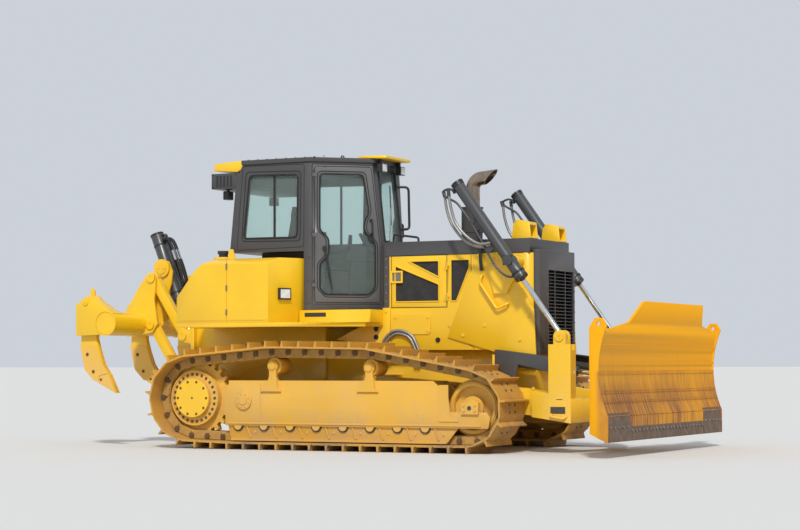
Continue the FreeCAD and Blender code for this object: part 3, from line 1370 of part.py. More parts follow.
def make_blade():
    rise = s.blade_top - s.blade_edge_top
    radius = rise * rise / (8 * s.blade_hollow) + s.blade_hollow / 2
    shell = s.blade_shell
    profile = (
        (s.blade_edge_ahead, s.blade_bottom),
        (s.blade_edge_ahead, s.blade_edge_top),
        (s.blade_edge_ahead, s.blade_top),
        (s.blade_edge_ahead + s.spill_lean, s.spill_top),
        (s.blade_edge_ahead + s.spill_lean - shell, s.spill_top + 8),
        (s.blade_edge_ahead - shell, s.blade_top + 8),
        (s.blade_edge_ahead - shell, s.blade_edge_top - 8),
        (s.blade_edge_ahead - shell, s.blade_bottom),
    )
    board = side_prism("mouldboard", profile, -s.blade_half, s.blade_half,
                       {1: (radius, -1), 5: (radius + shell, 1)})
    face = front_prism("blade_face", (
        (-s.blade_half, s.blade_bottom),
        (-s.blade_half, s.blade_corner_height),
        (-s.spill_half_low, s.blade_top),
        (-s.spill_half_high, s.spill_top),
        (s.spill_half_high, s.spill_top),
        (s.spill_half_low, s.blade_top),
        (s.blade_half, s.blade_corner_height),
        (s.blade_half, s.blade_bottom),
    ), s.blade_back - 50, s.blade_edge_ahead + s.spill_lean + 50)
    board = common("board_solid", [board, face])
    centre_height = s.blade_edge_top + rise / 2
    middle = radius + shell / 2

    def back_at(height):
        """How far ahead the middle of the shell lies at a height."""
        drop = size(height) - centre_height
        if float(height) < float(s.blade_edge_top):
            drop = rise / 2
        return (s.blade_edge_ahead - s.blade_hollow - shell / 2) + middle - root(middle * middle - drop * drop)

    pieces = [board]
    for index, (low, high) in enumerate(((240, 440), (640, 820), (1010, 1130))):
        nearest = min((low, high), key=lambda height: abs(height - float(centre_height)))
        pieces.append(box("blade_beam_%d" % index, (s.blade_back, back_at(nearest) + shell * 0.4),
                          (-s.blade_half + 10, s.blade_half - 10), (low, high)))
    for index, across in enumerate((-1400, -900, -350, 330, 900, 1380)):
        rib = (
            (s.blade_back, 240),
            (s.blade_back, 1130),
            (back_at(1130), 1130),
            (back_at(s.blade_edge_top), s.blade_edge_top),
            (back_at(240), 240),
        )
        pieces.append(side_prism("blade_rib_%d" % index, rib, across, across + 20, {2: (middle, 1)}))
    plate = (
        (s.blade_back, 235),
        (s.blade_back, 1245),
        (s.blade_back + 57, s.ear_top),
        (s.blade_back + 136, s.ear_top),
        (s.blade_edge_ahead + 5, s.ear_top - 73),
        (s.blade_edge_ahead + 8, s.blade_edge_top),
        (s.blade_edge_ahead + 8, s.blade_bottom),
        (s.blade_back + 92, 189),
    )
    end_plate = side_prism("end_plate", plate, s.blade_half - 25, s.blade_half, {4: (radius, 1)})
    hole = rod_y("end_plate_hole", s.blade_back + 93, s.ear_top - 55, 20, s.blade_half - 30,
                 s.blade_half + 5)
    end_plate = cut("end_plate_cut", end_plate, [hole])
    pieces.append(end_plate)
    pieces.append(mirror("end_plate_left", end_plate))
    bracket = box("blade_bracket", (s.yoke_front + s.panel_gap, s.blade_back + 10), (-140, 140),
                  (s.ball_height - 130, s.ball_height + 130))
    bore = rod_x("blade_bore", 0, s.ball_height, 50 + s.seat_gap, s.yoke_front, s.blade_back - 5)
    pieces.append(cut("blade_bracket_cut", bracket, [bore]))
    lug = box("tilt_lug", (s.tilt_ahead - 45, s.blade_back + 10),
              (s.tilt_eye_across - 50, s.tilt_eye_across + 65), (s.tilt_eye_height - 85, s.tilt_eye_height + 70))
    lug_slot = box("tilt_lug_slot", (s.tilt_ahead - 30, s.tilt_ahead + 30),
                   (s.tilt_eye_across - 55, s.tilt_eye_across + 50),
                   (s.tilt_eye_height - 90, s.tilt_eye_height + 80))
    pieces.append(cut("tilt_lug_cut", lug, [lug_slot]))
    keep("blade", fuse("blade_solid", pieces))


def cylinder(name, tail, head, tube_at, gland_at, across, barrel_radius, rod_radius, eye, tail_eye, cuts):
    """A barrel from tail to its gland and a rod on to its eye at head. Points are ahead, height."""
    start = (tail[0], -size(across), tail[1])
    end = (head[0], -size(across), head[1])
    gland = along(start, end, gland_at)
    mouth = along(start, end, size(gland_at) - 60)
    barrel = [rod_between(name + "_tube", along(start, end, tube_at), gland, barrel_radius),
              rod_between(name + "_gland", mouth, gland, size(barrel_radius) + 8)]
    barrel += tail_eye
    bore = rod_between(name + "_bore", along(start, end, size(tube_at) + 40),
                       along(start, end, size(gland_at) + 10), size(rod_radius) + s.seat_gap)
    barrel_solid = cut(name + "_barrel_solid", fuse(name + "_barrel_block", barrel), [bore] + cuts)
    rod = [rod_between(name + "_rod_bar", along(start, end, size(gland_at) - 45), end, rod_radius)] + eye
    return barrel_solid, fuse(name + "_rod_solid", rod)


def make_lift_cylinders():
    across = s.lift_spacing / 2
    head = (s.lift_eye_ahead, s.lift_eye_height)
    tail = along((s.trunnion_ahead, s.trunnion_height), head, -s.lift_cap_reach)
    collar = rod_y("lift_collar", s.trunnion_ahead, s.trunnion_height, 55,
                   across - s.lift_barrel_radius - 7, across + s.lift_barrel_radius + 12)
    eye = rod_y("lift_eye", head[0], head[1], 48, across - 30, across + 30)
    barrel, rod = cylinder("lift", tail, head, 0, s.lift_cap_reach + s.lift_gland_reach, across,
                           s.lift_barrel_radius, s.lift_rod_radius, [eye], [collar], [])
    keep_pair("lift_barrel", barrel)
    keep_pair("lift_rod", rod)


def make_angle_cylinders():
    tail = (s.angle_pin_ahead, s.angle_pin_height)
    head = (s.ball_ahead, s.angle_eye_height)
    eye = rod_z("angle_eye", head[0], -s.angle_offset, 42, s.angle_eye_height - 28, s.angle_eye_height + 28)
    tail_eye = rod_y("angle_tail", tail[0], tail[1], 45, s.angle_offset - 31, s.angle_offset + 31)
    start = (tail[0], -s.angle_offset, tail[1])
    neck = rod_between("angle_neck", start, along(start, (head[0], -s.angle_offset, head[1]), 90), 24)
    hole = rod_y("angle_tail_hole", tail[0], tail[1], s.small_pin + s.seat_gap, s.angle_offset - 60,
                 s.angle_offset + 60)
    barrel, rod = cylinder("angle", tail, head, 80, s.angle_gland_ahead - s.angle_pin_ahead, s.angle_offset,
                           s.angle_barrel_radius - 8, s.angle_rod_radius, [eye], [tail_eye, neck], [hole])
    keep_pair("angle_barrel", barrel)
    keep_pair("angle_rod", rod)


def make_tilt_cylinder():
    start = (s.tilt_ahead, s.tilt_pin_across, s.tilt_pin_height)
    end = (s.tilt_ahead, s.tilt_eye_across, s.tilt_eye_height)
    gland = along(start, end, 440)
    tube = rod_between("tilt_tube", along(start, end, 75), gland, s.tilt_barrel_radius)
    neck = rod_between("tilt_neck", start, along(start, end, 80), 22)
    tail = rod_x("tilt_tail", start[1], start[2], 40, s.tilt_ahead - 25, s.tilt_ahead + 25)
    bore = rod_between("tilt_bore", along(start, end, 110), along(start, end, 450),
                       s.tilt_rod_radius + s.seat_gap)
    hole = rod_x("tilt_tail_hole", start[1], start[2], s.small_pin + s.seat_gap, s.tilt_ahead - 60,
                 s.tilt_ahead + 60)
    keep("tilt_barrel", cut("tilt_barrel_solid", fuse("tilt_barrel_block", [tube, neck, tail]),
                            [bore, hole]))
    rod = rod_between("tilt_bar", along(start, end, 370), end, s.tilt_rod_radius)
    eye = rod_x("tilt_eye", end[1], end[2], 40, s.tilt_ahead - 25, s.tilt_ahead + 25)
    keep("tilt_rod", fuse("tilt_rod_solid", [rod, eye]))


def link_bar(name, front, rear):
    """One link of the ripper: two round ends and the bar between them."""
    radius = s.link_radius
    ends = [rod_y(name + "_front", front[0], front[1], radius, s.link_inner, s.link_outer),
            rod_y(name + "_rear", rear[0], rear[1], radius, s.link_inner, s.link_outer)]
    step_x = size(rear[0]) - front[0]
    step_z = size(rear[1]) - front[1]
    whole = root(step_x * step_x + step_z * step_z)
    off_x = step_z / whole * radius * 0.8
    off_z = -step_x / whole * radius * 0.8
    bar = side_prism(name + "_bar", (
        (size(front[0]) + off_x, size(front[1]) + off_z),
        (size(rear[0]) + off_x, size(rear[1]) + off_z),
        (size(rear[0]) - off_x, size(rear[1]) - off_z),
        (size(front[0]) - off_x, size(front[1]) - off_z),
    ), s.link_inner, s.link_outer)
    holes = [rod_y(name + "_hole_%d" % index, point[0], point[1], s.link_pin + s.seat_gap,
                   s.link_inner - 5, s.link_outer + 5) for index, point in enumerate((front, rear))]
    return cut(name + "_solid", fuse(name + "_block", ends + [bar]), holes)


def make_ripper():
    upper_front = (s.link_front_ahead + s.link_skew, s.link_front_height + s.link_spacing)
    upper_rear = (s.link_rear_ahead + s.link_skew, s.link_rear_height + s.link_spacing)
    lower_front = (s.link_front_ahead, s.link_front_height)
    lower_rear = (s.link_rear_ahead, s.link_rear_height)
    lower = link_bar("lower_link", lower_front, lower_rear)
    keep("ripper_lower_link", both("lower_link_pair", lower))
    upper = link_bar("upper_link", upper_front, upper_rear)
    keep("ripper_upper_link", both("upper_link_pair", upper))

    plate = s.tower_plate
    gap = s.panel_gap
    lanes = ((s.link_inner - gap - plate, s.link_inner - gap), (s.link_outer + gap, s.link_outer + gap + plate))
    mount_pieces = [box("mount_plate", (s.case_rear - 40, s.case_rear), (-s.case_half - 60, s.case_half + 60),
                        (s.link_front_height - 150, s.link_front_height + s.link_spacing + 190))]
    mount_sides = []
    for lane, (near, far) in enumerate(lanes):
        for level, point in enumerate((lower_front, upper_front)):
            lug = side_prism("mount_lug_%d_%d" % (lane, level), (
                (s.case_rear - 35, point[1] - 90),
                (s.case_rear - 35, point[1] + 90),
                (point[0], point[1] + s.link_radius),
                (point[0], point[1] - s.link_radius),
            ), near, far)
            mount_sides.append(lug)
            mount_sides.append(rod_y("mount_eye_%d_%d" % (lane, level), point[0], point[1], s.link_radius,
                                     near, far))
    for level, point in enumerate((lower_front, upper_front)):
        mount_sides.append(rod_y("mount_pin_%d" % level, point[0], point[1], s.link_pin,
                                 lanes[0][0], lanes[1][1] + 12))
    mount_sides.append(side_prism("rod_bracket", (
        (s.case_rear - 35, s.ripper_eye_height - 110),
        (s.case_rear - 35, s.ripper_eye_height + 110),
        (s.ripper_eye_ahead - 45, s.ripper_eye_height + 50),
        (s.ripper_eye_ahead - 45, s.ripper_eye_height - 50),
    ), s.ripper_eye_half + gap, s.ripper_eye_half + gap + 25))
    mount_side = fuse("mount_side", mount_sides)
    keep("ripper_mount", fuse("mount_solid", mount_pieces + [mount_side, mirror("mount_side_left",
                                                                               mount_side)]))
    tube = rod_y("ripper_tube", s.beam_ahead, s.beam_height, s.beam_radius, -s.beam_half, s.beam_half)
    tower_outline = (
        (s.beam_ahead - 1, s.beam_height - 134),
        (s.link_rear_ahead + 24, s.link_rear_height - 87),
        (s.link_rear_ahead + 94, s.link_rear_height + 11),
        (s.link_rear_ahead + 45, s.link_rear_height + 290),
        (upper_rear[0] + 60, upper_rear[1] - 21),
        (upper_rear[0] + 30, upper_rear[1] + 55),
        (upper_rear[0] - 30, upper_rear[1] + 60),
        (upper_rear[0] - 71, upper_rear[1] + 21),
        (upper_rear[0] - 178, upper_rear[1] - 117),
        (upper_rear[0] - 261, upper_rear[1] - 255),
        (s.beam_ahead - 135, s.beam_height + 167),
        (s.beam_ahead - 120, s.beam_height),
    )
    mast_outline = (
        (s.beam_ahead, s.beam_height - 110),
        (s.beam_ahead + 110, s.beam_height - 60),
        (s.beam_ahead + 165, s.beam_height + 150),
        (s.ripper_trunnion_ahead + 92, s.ripper_trunnion_height - 256),
        (s.ripper_trunnion_ahead + 120, s.ripper_trunnion_height - 176),
        (s.ripper_trunnion_ahead + 131, s.ripper_trunnion_height - 35),
        (s.ripper_trunnion_ahead + 75, s.ripper_trunnion_height + 80),
        (s.ripper_trunnion_ahead - 75, s.ripper_trunnion_height + 75),
        (s.ripper_trunnion_ahead - 110, s.ripper_trunnion_height - 110),
        (s.beam_ahead - 60, s.beam_height + 300),
        (s.beam_ahead - 100, s.beam_height + 60),
    )
    pieces = [tube]
    for lane, (near, far) in enumerate(lanes):
        tower = side_prism("tower_plate_%d" % lane, tower_outline, near, far)
        pieces.append(tower)
        pieces.append(mirror("tower_plate_left_%d" % lane, tower))
    mast = group("ripper_mast", [
        side_prism("mast_plate", mast_outline, s.ripper_plate_gap, s.ripper_plate_gap + plate),
        rod_y("mast_boss", s.ripper_trunnion_ahead, s.ripper_trunnion_height, s.ripper_boss_radius,
              s.ripper_plate_gap, s.ripper_plate_gap + plate + 20),
    ])
    relief = rod_y("link_relief", lower_rear[0], lower_rear[1], s.link_radius + gap,
                   s.link_inner - gap, s.link_outer + gap)
    pieces.append(mast)
    pieces.append(mirror("ripper_mast_left", mast))
    holder_outline = (
        (s.shank_rear - 25, s.beam_height - 135),
        (s.shank_rear - 28, s.beam_height + 206),
        (s.shank_rear + 110, s.beam_height + 302),
        (s.shank_rear + 170, s.beam_height + 315),
        (s.shank_rear + 230, s.beam_height + 251),
        (s.beam_ahead + 92, s.beam_height + 112),
        (s.beam_ahead + 47, s.beam_height - 122),
    )
    for index, across in enumerate((-s.shank_spread, size(0), s.shank_spread)):
        holder = side_prism("holder_%d" % index, holder_outline, across - s.holder_half,
                            across + s.holder_half)
        slot = box("holder_slot_%d" % index, (s.shank_rear - s.seat_gap, s.shank_front + s.seat_gap),
                   (-across - s.shank_width / 2 - s.seat_gap, -across + s.shank_width / 2 + s.seat_gap),
                   (s.beam_height - 260, s.shank_top + s.seat_gap))
        pieces.append(cut("holder_cut_%d" % index, holder, [slot]))
    pins = [rod_y("tower_pin_%d" % level, point[0], point[1], s.link_pin, lanes[0][0],
                  lanes[1][1] + 12) for level, point in enumerate((lower_rear, upper_rear))]
    pins += [mirror("tower_pin_left_%d" % level, pin) for level, pin in enumerate(pins)]
    beam = cut("ripper_beam_cut", fuse("ripper_beam_block", pieces),
               [relief, mirror("link_relief_left", relief)])
    keep("ripper_beam", fuse("ripper_beam_solid", [beam] + pins))

    shank_outline = (
        (s.shank_rear, s.shank_top),
        (s.shank_front, s.shank_top),
        (s.shank_front, 1190),
        (s.shank_front + 82, 907),
        (s.shank_front + 166, 790),
        (s.shank_front + 274, 586),
        (s.shank_rear + 182, 731),
        (s.shank_rear + 62, 848),
        (s.shank_rear - 8, 1084),
        (s.shank_rear, 1190),
    )
    shanks = [side_prism("shank_%d" % index, shank_outline, across - s.shank_width / 2,
                         across + s.shank_width / 2)
              for index, across in enumerate((-s.shank_spread, size(0), s.shank_spread))]
    keep("ripper_shanks", group("shank_row", shanks))

    trunnion = (s.ripper_trunnion_ahead, s.ripper_trunnion_height)
    head = (s.ripper_eye_ahead, s.ripper_eye_height)
    tail = along(trunnion, head, -s.ripper_cap_reach)
    reach = s.ripper_plate_gap - s.seat_gap
    pin = rod_y("ripper_pin", trunnion[0], trunnion[1], 60, -reach, reach)
    eye = rod_y("ripper_eye", head[0], head[1], 52, -s.ripper_eye_half, s.ripper_eye_half)
    barrel, rod = cylinder("ripper", tail, head, 0, s.ripper_cap_reach + s.ripper_gland_reach, 0,
                           s.ripper_barrel_radius, s.ripper_rod_radius, [eye], [pin], [])
    keep("ripper_barrel", barrel)
    keep("ripper_rod", rod)


def make_cab_trim():
    """Sun visors, the cooler box behind the roof and the panes that don't open."""
    top = s.cab_top + s.roof_thickness
    front = plan_prism("front_visor", (
        (s.cab_front_high - 130, -s.cab_front_half - 150),
        (s.cab_front_high + 20, -s.cab_front_half - 116),
        (s.cab_front_high + 160, -s.cab_front_half - 60),
        (s.cab_front_high + 160, s.cab_front_half + 60),
        (s.cab_front_high + 20, s.cab_front_half + 116),
        (s.cab_front_high - 130, s.cab_front_half + 150),
    ), top, top + 30)
    edge = s.cab_rear_high - 10 - s.seat_gap
    rear = side_prism("rear_visor", (
        (-44, s.cab_top - 36),
        (-12, s.cab_top + 39),
        (359, s.cab_top + 64),
        (edge, top),
        (edge, s.cab_top + 5),
        (272, s.cab_top - 63),
    ), -s.cab_half + 100, s.cab_half - 100)
    keep("visors", group("visor_pair", [front, rear]))
    cooler = side_prism("cooler_solid", (
        (-65, s.cab_top - 240),
        (-65, s.cab_top - 70),
        (cab_rear(s.cab_top - 70) - s.seat_gap, s.cab_top - 70),
        (s.cab_rear_middle - s.seat_gap, s.cab_middle_height),
        (cab_rear(s.cab_top - 240) - s.seat_gap, s.cab_top - 240),
    ), -s.cab_half + 100, s.cab_half - 100)
    keep("cooler_box", cooler)
    wall = s.cab_wall
    half = s.glass_thickness / 2
    side_pane = side_prism("side_pane", side_window(s.seat_gap), s.cab_half - wall / 2 - half,
                           s.cab_half - wall / 2 + half)
    lean = (s.cab_front_low - s.cab_front_high) / (s.cab_top - s.cab_knee)

    def front_at(height):
        return s.cab_front_low - wall / 2 - (size(height) - s.cab_knee) * lean

    low = s.hood_top + 30 + s.seat_gap
    high = s.cab_top - 70 - s.seat_gap
    across = s.cab_window_half - s.seat_gap
    front_pane = side_prism("front_pane", (
        (front_at(low) - half, low),
        (front_at(high) - half, high),
        (front_at(high) + half, high),
        (front_at(low) + half, low),
    ), -across, across)
    low = s.cab_step + 110 + s.seat_gap
    high = s.cab_middle_height - 13 - s.seat_gap
    across = s.cab_half - 130 - s.seat_gap
    rear_pane = side_prism("rear_pane", (
        (cab_rear(low) + wall / 2 - half, low),
        (cab_rear(high) + wall / 2 - half, high),
        (cab_rear(high) + wall / 2 + half, high),
        (cab_rear(low) + wall / 2 + half, low),
    ), -across, across)
    keep("cab_glass", group("pane_group", [side_pane, mirror("side_pane_left", side_pane), front_pane,
                                           rear_pane]))


def check_and_export():
    """Stop at a failed feature or an unsound solid, and write each sub-part."""
    doc.recompute()
    for thing in doc.Objects:
        if "Invalid" in thing.State or "Error" in thing.State:
            raise RuntimeError("failed feature: " + thing.Label)
    os.makedirs("parts", exist_ok=True)
    for name, solid in NODES:
        shape = solid.Shape
        if shape.isNull() or not shape.isValid() or not shape.Solids:
            raise RuntimeError("unsound solid: " + name)
        shape.exportStep(os.path.join("parts", name + ".step"))


make_main_frame()
make_engine()
make_tracks()
make_track_frames()
make_hood()
make_side_doors()
make_nose()
make_exhaust()
make_cab()
make_cab_doors()
make_cab_trim()
make_seat()
make_tanks()
make_blade_frame()
make_yoke()
make_blade()
make_lift_cylinders()
make_angle_cylinders()
make_tilt_cylinder()
make_ripper()
check_and_export()
print(len(NODES), "sub-parts")
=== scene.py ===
"""A crawler bulldozer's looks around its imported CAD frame. Metres, +X forward, +Y to the machine's left."""
import math

import bpy
from mathutils import Matrix, Vector


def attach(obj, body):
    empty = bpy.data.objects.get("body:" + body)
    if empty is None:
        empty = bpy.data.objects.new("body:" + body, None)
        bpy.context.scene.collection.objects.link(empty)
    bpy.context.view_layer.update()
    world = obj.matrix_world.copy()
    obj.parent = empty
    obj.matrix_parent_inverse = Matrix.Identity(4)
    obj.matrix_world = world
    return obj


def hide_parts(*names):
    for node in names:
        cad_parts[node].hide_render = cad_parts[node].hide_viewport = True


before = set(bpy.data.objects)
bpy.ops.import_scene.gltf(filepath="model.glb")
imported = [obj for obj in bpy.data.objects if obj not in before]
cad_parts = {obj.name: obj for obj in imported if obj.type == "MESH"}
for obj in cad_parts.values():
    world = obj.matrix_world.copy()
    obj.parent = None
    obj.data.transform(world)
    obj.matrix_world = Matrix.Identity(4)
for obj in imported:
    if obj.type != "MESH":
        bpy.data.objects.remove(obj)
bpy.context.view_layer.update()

# The part's origin lies this far ahead of the sprocket centre, from which the places below are measured.
ORIGIN_AHEAD = 1.7475
SIDES = (-1, 1)
NAMED_SIDES = ((-1, "right"), (1, "left"))
OUT = (0, -1, 0)
UP = (0, 0, 1)
FORWARD = (1, 0, 0)


def at(ahead, across, height):
    """A point given from the sprocket centre, the middle plane and the ground."""
    return Vector((ahead - ORIGIN_AHEAD, across, height))


def flat(across, places):
    """Points of one upright plane along the machine, each given by how far ahead and how high it is."""
    return [at(ahead, across, height) for ahead, height in places]


def around(first, second, sides):
    """Faces between two rings of points."""
    return [(first + k, first + (k + 1) % sides, second + (k + 1) % sides, second + k) for k in range(sides)]


def ends(sides, count):
    """The two flat ends of a bar whose points lie in rings."""
    return [tuple(reversed(range(sides))), tuple(range(count - sides, count))]


class Shape:
    """A mesh put together from simple solids."""

    def __init__(self):
        self.points = []
        self.faces = []

    def add(self, points, faces):
        first = len(self.points)
        self.points += [tuple(point) for point in points]
        self.faces += [tuple(first + index for index in face) for face in faces]
        return self

    def block(self, low, high):
        """A box between two corners, each given as for at()."""
        x, y, z = (sorted(pair) for pair in zip(at(*low), at(*high)))
        corners = [(x[i], y[j], z[k]) for i in (0, 1) for j in (0, 1) for k in (0, 1)]
        faces = ((0, 1, 3, 2), (4, 6, 7, 5), (0, 4, 5, 1), (2, 3, 7, 6), (0, 2, 6, 4), (1, 5, 7, 3))
        return self.add(corners, faces)

    def bar(self, start, end, width, depth, up=UP):
        """A straight bar of rectangular section."""
        along = (end - start).normalized()
        side = along.cross(Vector(up)).normalized() * (width / 2)
        rise = side.cross(along).normalized() * (depth / 2)
        corners = []
        for point in (start, end):
            corners += [point - side - rise, point + side - rise, point + side + rise, point - side + rise]
        faces = ((0, 1, 2, 3), (7, 6, 5, 4), (0, 4, 5, 1), (1, 5, 6, 2), (2, 6, 7, 3), (3, 7, 4, 0))
        return self.add(corners, faces)

    def strip(self, across, start, end, width, depth):
        """A bar along a side face."""
        return self.bar(*flat(across, (start, end)), width, depth, (0, 1, 0))

    def rod(self, start, end, radius, sides=20, tip_radius=None):
        """A round bar, or a cone with another radius at its end."""
        tip_radius = radius if tip_radius is None else tip_radius
        turn = (end - start).to_track_quat("Z", "Y")
        ring = [turn @ Vector((math.cos(a), math.sin(a), 0)) for a in circle(sides)]
        points = [start + way * radius for way in ring] + [end + way * tip_radius for way in ring]
        return self.add(points, around(0, sides, sides) + ends(sides, 2 * sides))

    def disc(self, place, start, end, radius, sides):
        """A round cap that stands across the machine, from one distance off its middle to another."""
        ahead, height = place
        return self.rod(at(ahead, start, height), at(ahead, end, height), radius, sides)

    def post(self, ahead, across, low, high, radius, sides=16):
        """An upright round bar."""
        return self.rod(at(ahead, across, low), at(ahead, across, high), radius, sides)

    def ring(self, centre, axis, outer, inner, height, sides=32):
        """A flat washer that stands out from centre along axis."""
        turn = Vector(axis).to_track_quat("Z", "Y")
        points = []
        for radius, level in ((outer, 0), (outer, height), (inner, height), (inner, 0)):
            for a in circle(sides):
                points.append(centre + turn @ Vector((radius * math.cos(a), radius * math.sin(a), level)))
        faces = []
        for band in range(4):
            faces += around(band * sides, (band + 1) % 4 * sides, sides)
        return self.add(points, faces)

    def bolt(self, point, axis, radius):
        """A hexagon head on a washer."""
        axis = Vector(axis).normalized()
        height = radius * 0.7
        self.rod(point, point + axis * height * 0.25, radius * 1.25, 16)
        return self.rod(point, point + axis * height, radius, 6)

    def bolts(self, across, places, radius, out=OUT):
        """Bolts on a side face."""
        for point in flat(across, places):
            self.bolt(point, out, radius)
        return self

    def bolt_circle(self, place, across, reach, count, radius, first=0.0):
        """Bolts round a place on the right side."""
        ahead, height = place
        return self.bolts(across, [(ahead + reach * math.sin(a), height + reach * math.cos(a))
                                   for a in circle(count, first)], radius)

    def tube(self, path, radius, sides=12):
        """A round tube along a line of points."""
        count = len(path)
        points = []
        normal = None
        for index, point in enumerate(path):
            ahead = (path[min(index + 1, count - 1)] - path[max(index - 1, 0)]).normalized()
            if normal is None:
                normal = ahead.orthogonal().normalized()
            normal = (normal - ahead * normal.dot(ahead)).normalized()
            other = ahead.cross(normal)
            for a in circle(sides):
                points.append(point + (normal * math.cos(a) + other * math.sin(a)) * radius)
        faces = []
        for index in range(count - 1):
            faces += around(index * sides, (index + 1) * sides, sides)
        return self.add(points, faces + ends(sides, count * sides))

    def prism(self, outline, shift):
        """A flat outline of 3-D points pushed along shift."""
        shift = Vector(shift)
        count = len(outline)
        points = outline + [point + shift for point in outline]
        return self.add(points, ends(count, 2 * count) + around(0, count, count))

    def plate(self, across, places, thickness):
        """A plate whose outline lies in an upright plane along the machine."""
        return self.prism(flat(across, places), (0, thickness, 0))

    def seal(self, corners, radius, thickness):
        """A round strip along a closed outline with round corners."""
        start = (corners[0] + corners[1]) / 2
        path = [start] + corners[1:] + corners[:1] + [start]
        return self.tube(rounded(path, radius), thickness, 8)

    def flipped(self):
        """The mirror image alone."""
        self.points = [(x, -y, z) for x, y, z in self.points]
        self.faces = backwards(self.faces)
        return self

    def mirrored(self):
        """This shape together with its mirror image across the middle plane."""
        return self.add([(x, -y, z) for x, y, z in self.points], backwards(self.faces))


def circle(count, first=0.0):
    """Angles evenly spaced round a full turn."""
    return [2 * math.pi * (index + first) / count for index in range(count)]


def backwards(faces):
    """The faces seen from their other side."""
    return [tuple(reversed(face)) for face in faces]


def smooth_path(points, steps=8):
    """A rounded line through points, for hoses."""
    padded = [points[0] * 2 - points[1], *points, points[-1] * 2 - points[-2]]
    line = []
    for index in range(1, len(padded) - 2):
        a, b, c, d = padded[index - 1:index + 3]
        for step in range(steps):
            t = step / steps
            line.append(0.5 * ((2 * b) + (c - a) * t + (2 * a - 5 * b + 4 * c - d) * t * t
                               + (3 * b - a - 3 * c + d) * t * t * t))
    return line + [points[-1]]


def rounded(points, radius, steps=5):
    """Straight runs joined by round corners, for bent tube."""
    line = [points[0]]
    for before, corner, after in zip(points, points[1:], points[2:]):
        reach = min(radius, (corner - before).length * 0.49, (after - corner).length * 0.49)
        start = corner + (before - corner).normalized() * reach
        end = corner + (after - corner).normalized() * reach
        for step in range(steps + 1):
            t = step / steps
            line.append(start * (1 - t) ** 2 + corner * 2 * t * (1 - t) + end * t * t)
    return line + [points[-1]]


def spaced(first, step, count):
    """Evenly spaced numbers."""
    return [first + step * index for index in range(count)]


SHARP = math.radians(35)


# A slot name for each look; all other looks have grille_paint
SLOTS = {
    **dict.fromkeys(("yellow", "clean", "edge", "blade", "steel"), "yellow_paint"),
    **dict.fromkeys(("dusty", "links", "pins", "worn"), "dusty_paint"),
    **dict.fromkeys(("lamp", "exhaust", "trim", "cloth")),
    "dark": "dark_paint",
}


def piece(name, shape, look, soften=0.0, body="chassis", **own):
    """Make an object of a shape, riding on a body."""
    mesh = bpy.data.meshes.new(name)
    mesh.from_pydata(shape.points, [], shape.faces)
    mesh.validate()
    for face in mesh.polygons:
        face.use_smooth = True
    mesh.set_sharp_from_angle(angle=SHARP)
    mesh.materials.append(M[look])
    thing = bpy.data.objects.new(name, mesh)
    bpy.context.scene.collection.objects.link(thing)
    if soften:
        round_edges(thing, soften)
    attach(thing, body)
    return thing


def pair(name, shape, *looks, **own):
    """A piece with its mirror image on the other side."""
    return piece(name, shape.mirrored(), *looks, **own)


def round_edges(thing, width):
    """A narrow round on every sharp edge."""
    bevel = thing.modifiers.new("round", "BEVEL")
    bevel.width = width
    bevel.segments = 2
    bevel.limit_method = "ANGLE"
    bevel.angle_limit = math.radians(32)
    bevel.harden_normals = True


class Nodes:
    """Short names for building a material."""

    def __init__(self, name):
        self.material = bpy.data.materials.new(name)
        self.material.use_nodes = True
        self.tree = self.material.node_tree
        self.shader = self.tree.nodes["Principled BSDF"]

    def new(self, kind, **values):
        """A node with numbers on its named inputs."""
        node = self.tree.nodes.new("ShaderNode" + kind)
        for key, value in values.items():
            node.inputs[key.replace("_", " ")].default_value = value
        return node

    def link(self, source, target):
        """Join an output to an input, or to one of the shader's inputs by its name."""
        self.tree.links.new(source, self.shader.inputs[target] if isinstance(target, str) else target)

    def fix(self, **values):
        """Numbers that are the same all over the surface."""
        for key, value in values.items():
            self.shader.inputs[key.replace("_", " ")].default_value = value

    def place(self):
        return self.new("TexCoord").outputs["Object"]

    def axes(self, source):
        """The three parts of a vector."""
        parts = self.new("SeparateXYZ")
        self.link(source, parts.inputs[0])
        return parts.outputs

    def noise(self, scale, detail=6.0, roughness=0.6, place=None):
        node = self.new("TexNoise", Scale=scale, Detail=detail, Roughness=roughness)
        self.link(place or self.place(), node.inputs["Vector"])
        return node.outputs["Fac"]

    def remap(self, source, low, high, to_low=0.0, to_high=1.0):
        node = self.new("MapRange")
        node.interpolation_type = "SMOOTHSTEP"
        for key, value in zip(("From Min", "From Max", "To Min", "To Max"), (low, high, to_low, to_high)):
            node.inputs[key].default_value = value
        self.link(source, node.inputs["Value"])
        return node.outputs["Result"]

    def spread(self, low, high, *size):
        """Noise stretched between two levels."""
        return self.remap(self.noise(*size), low, high)

    def sum(self, a, b, operation="ADD"):
        node = self.new("Math")
        node.operation = operation
        node.use_clamp = True
        for socket, value in zip(node.inputs, (a, b)):
            if isinstance(value, (int, float)):
                socket.default_value = value
            else:
                self.link(value, socket)
        return node.outputs[0]

    def times(self, a, b):
        return self.sum(a, b, "MULTIPLY")

    def mix(self, share, first, second):
        node = self.new("Mix")
        node.data_type = "RGBA"
        self.link(share, node.inputs[0])
        for socket, value in ((node.inputs[6], first), (node.inputs[7], second)):
            if isinstance(value, tuple):
                socket.default_value = (*value, 1.0)
            else:
                self.link(value, socket)
        return node.outputs[2]

    def bump(self, height, distance, strength=0.5):
        node = self.new("Bump", Strength=strength, Distance=distance)
        self.link(height, node.inputs["Height"])
        self.link(node.outputs["Normal"], "Normal")


def scaled(colour, share):
    """A darker tone of a colour."""
    return tuple(channel * share for channel in colour)


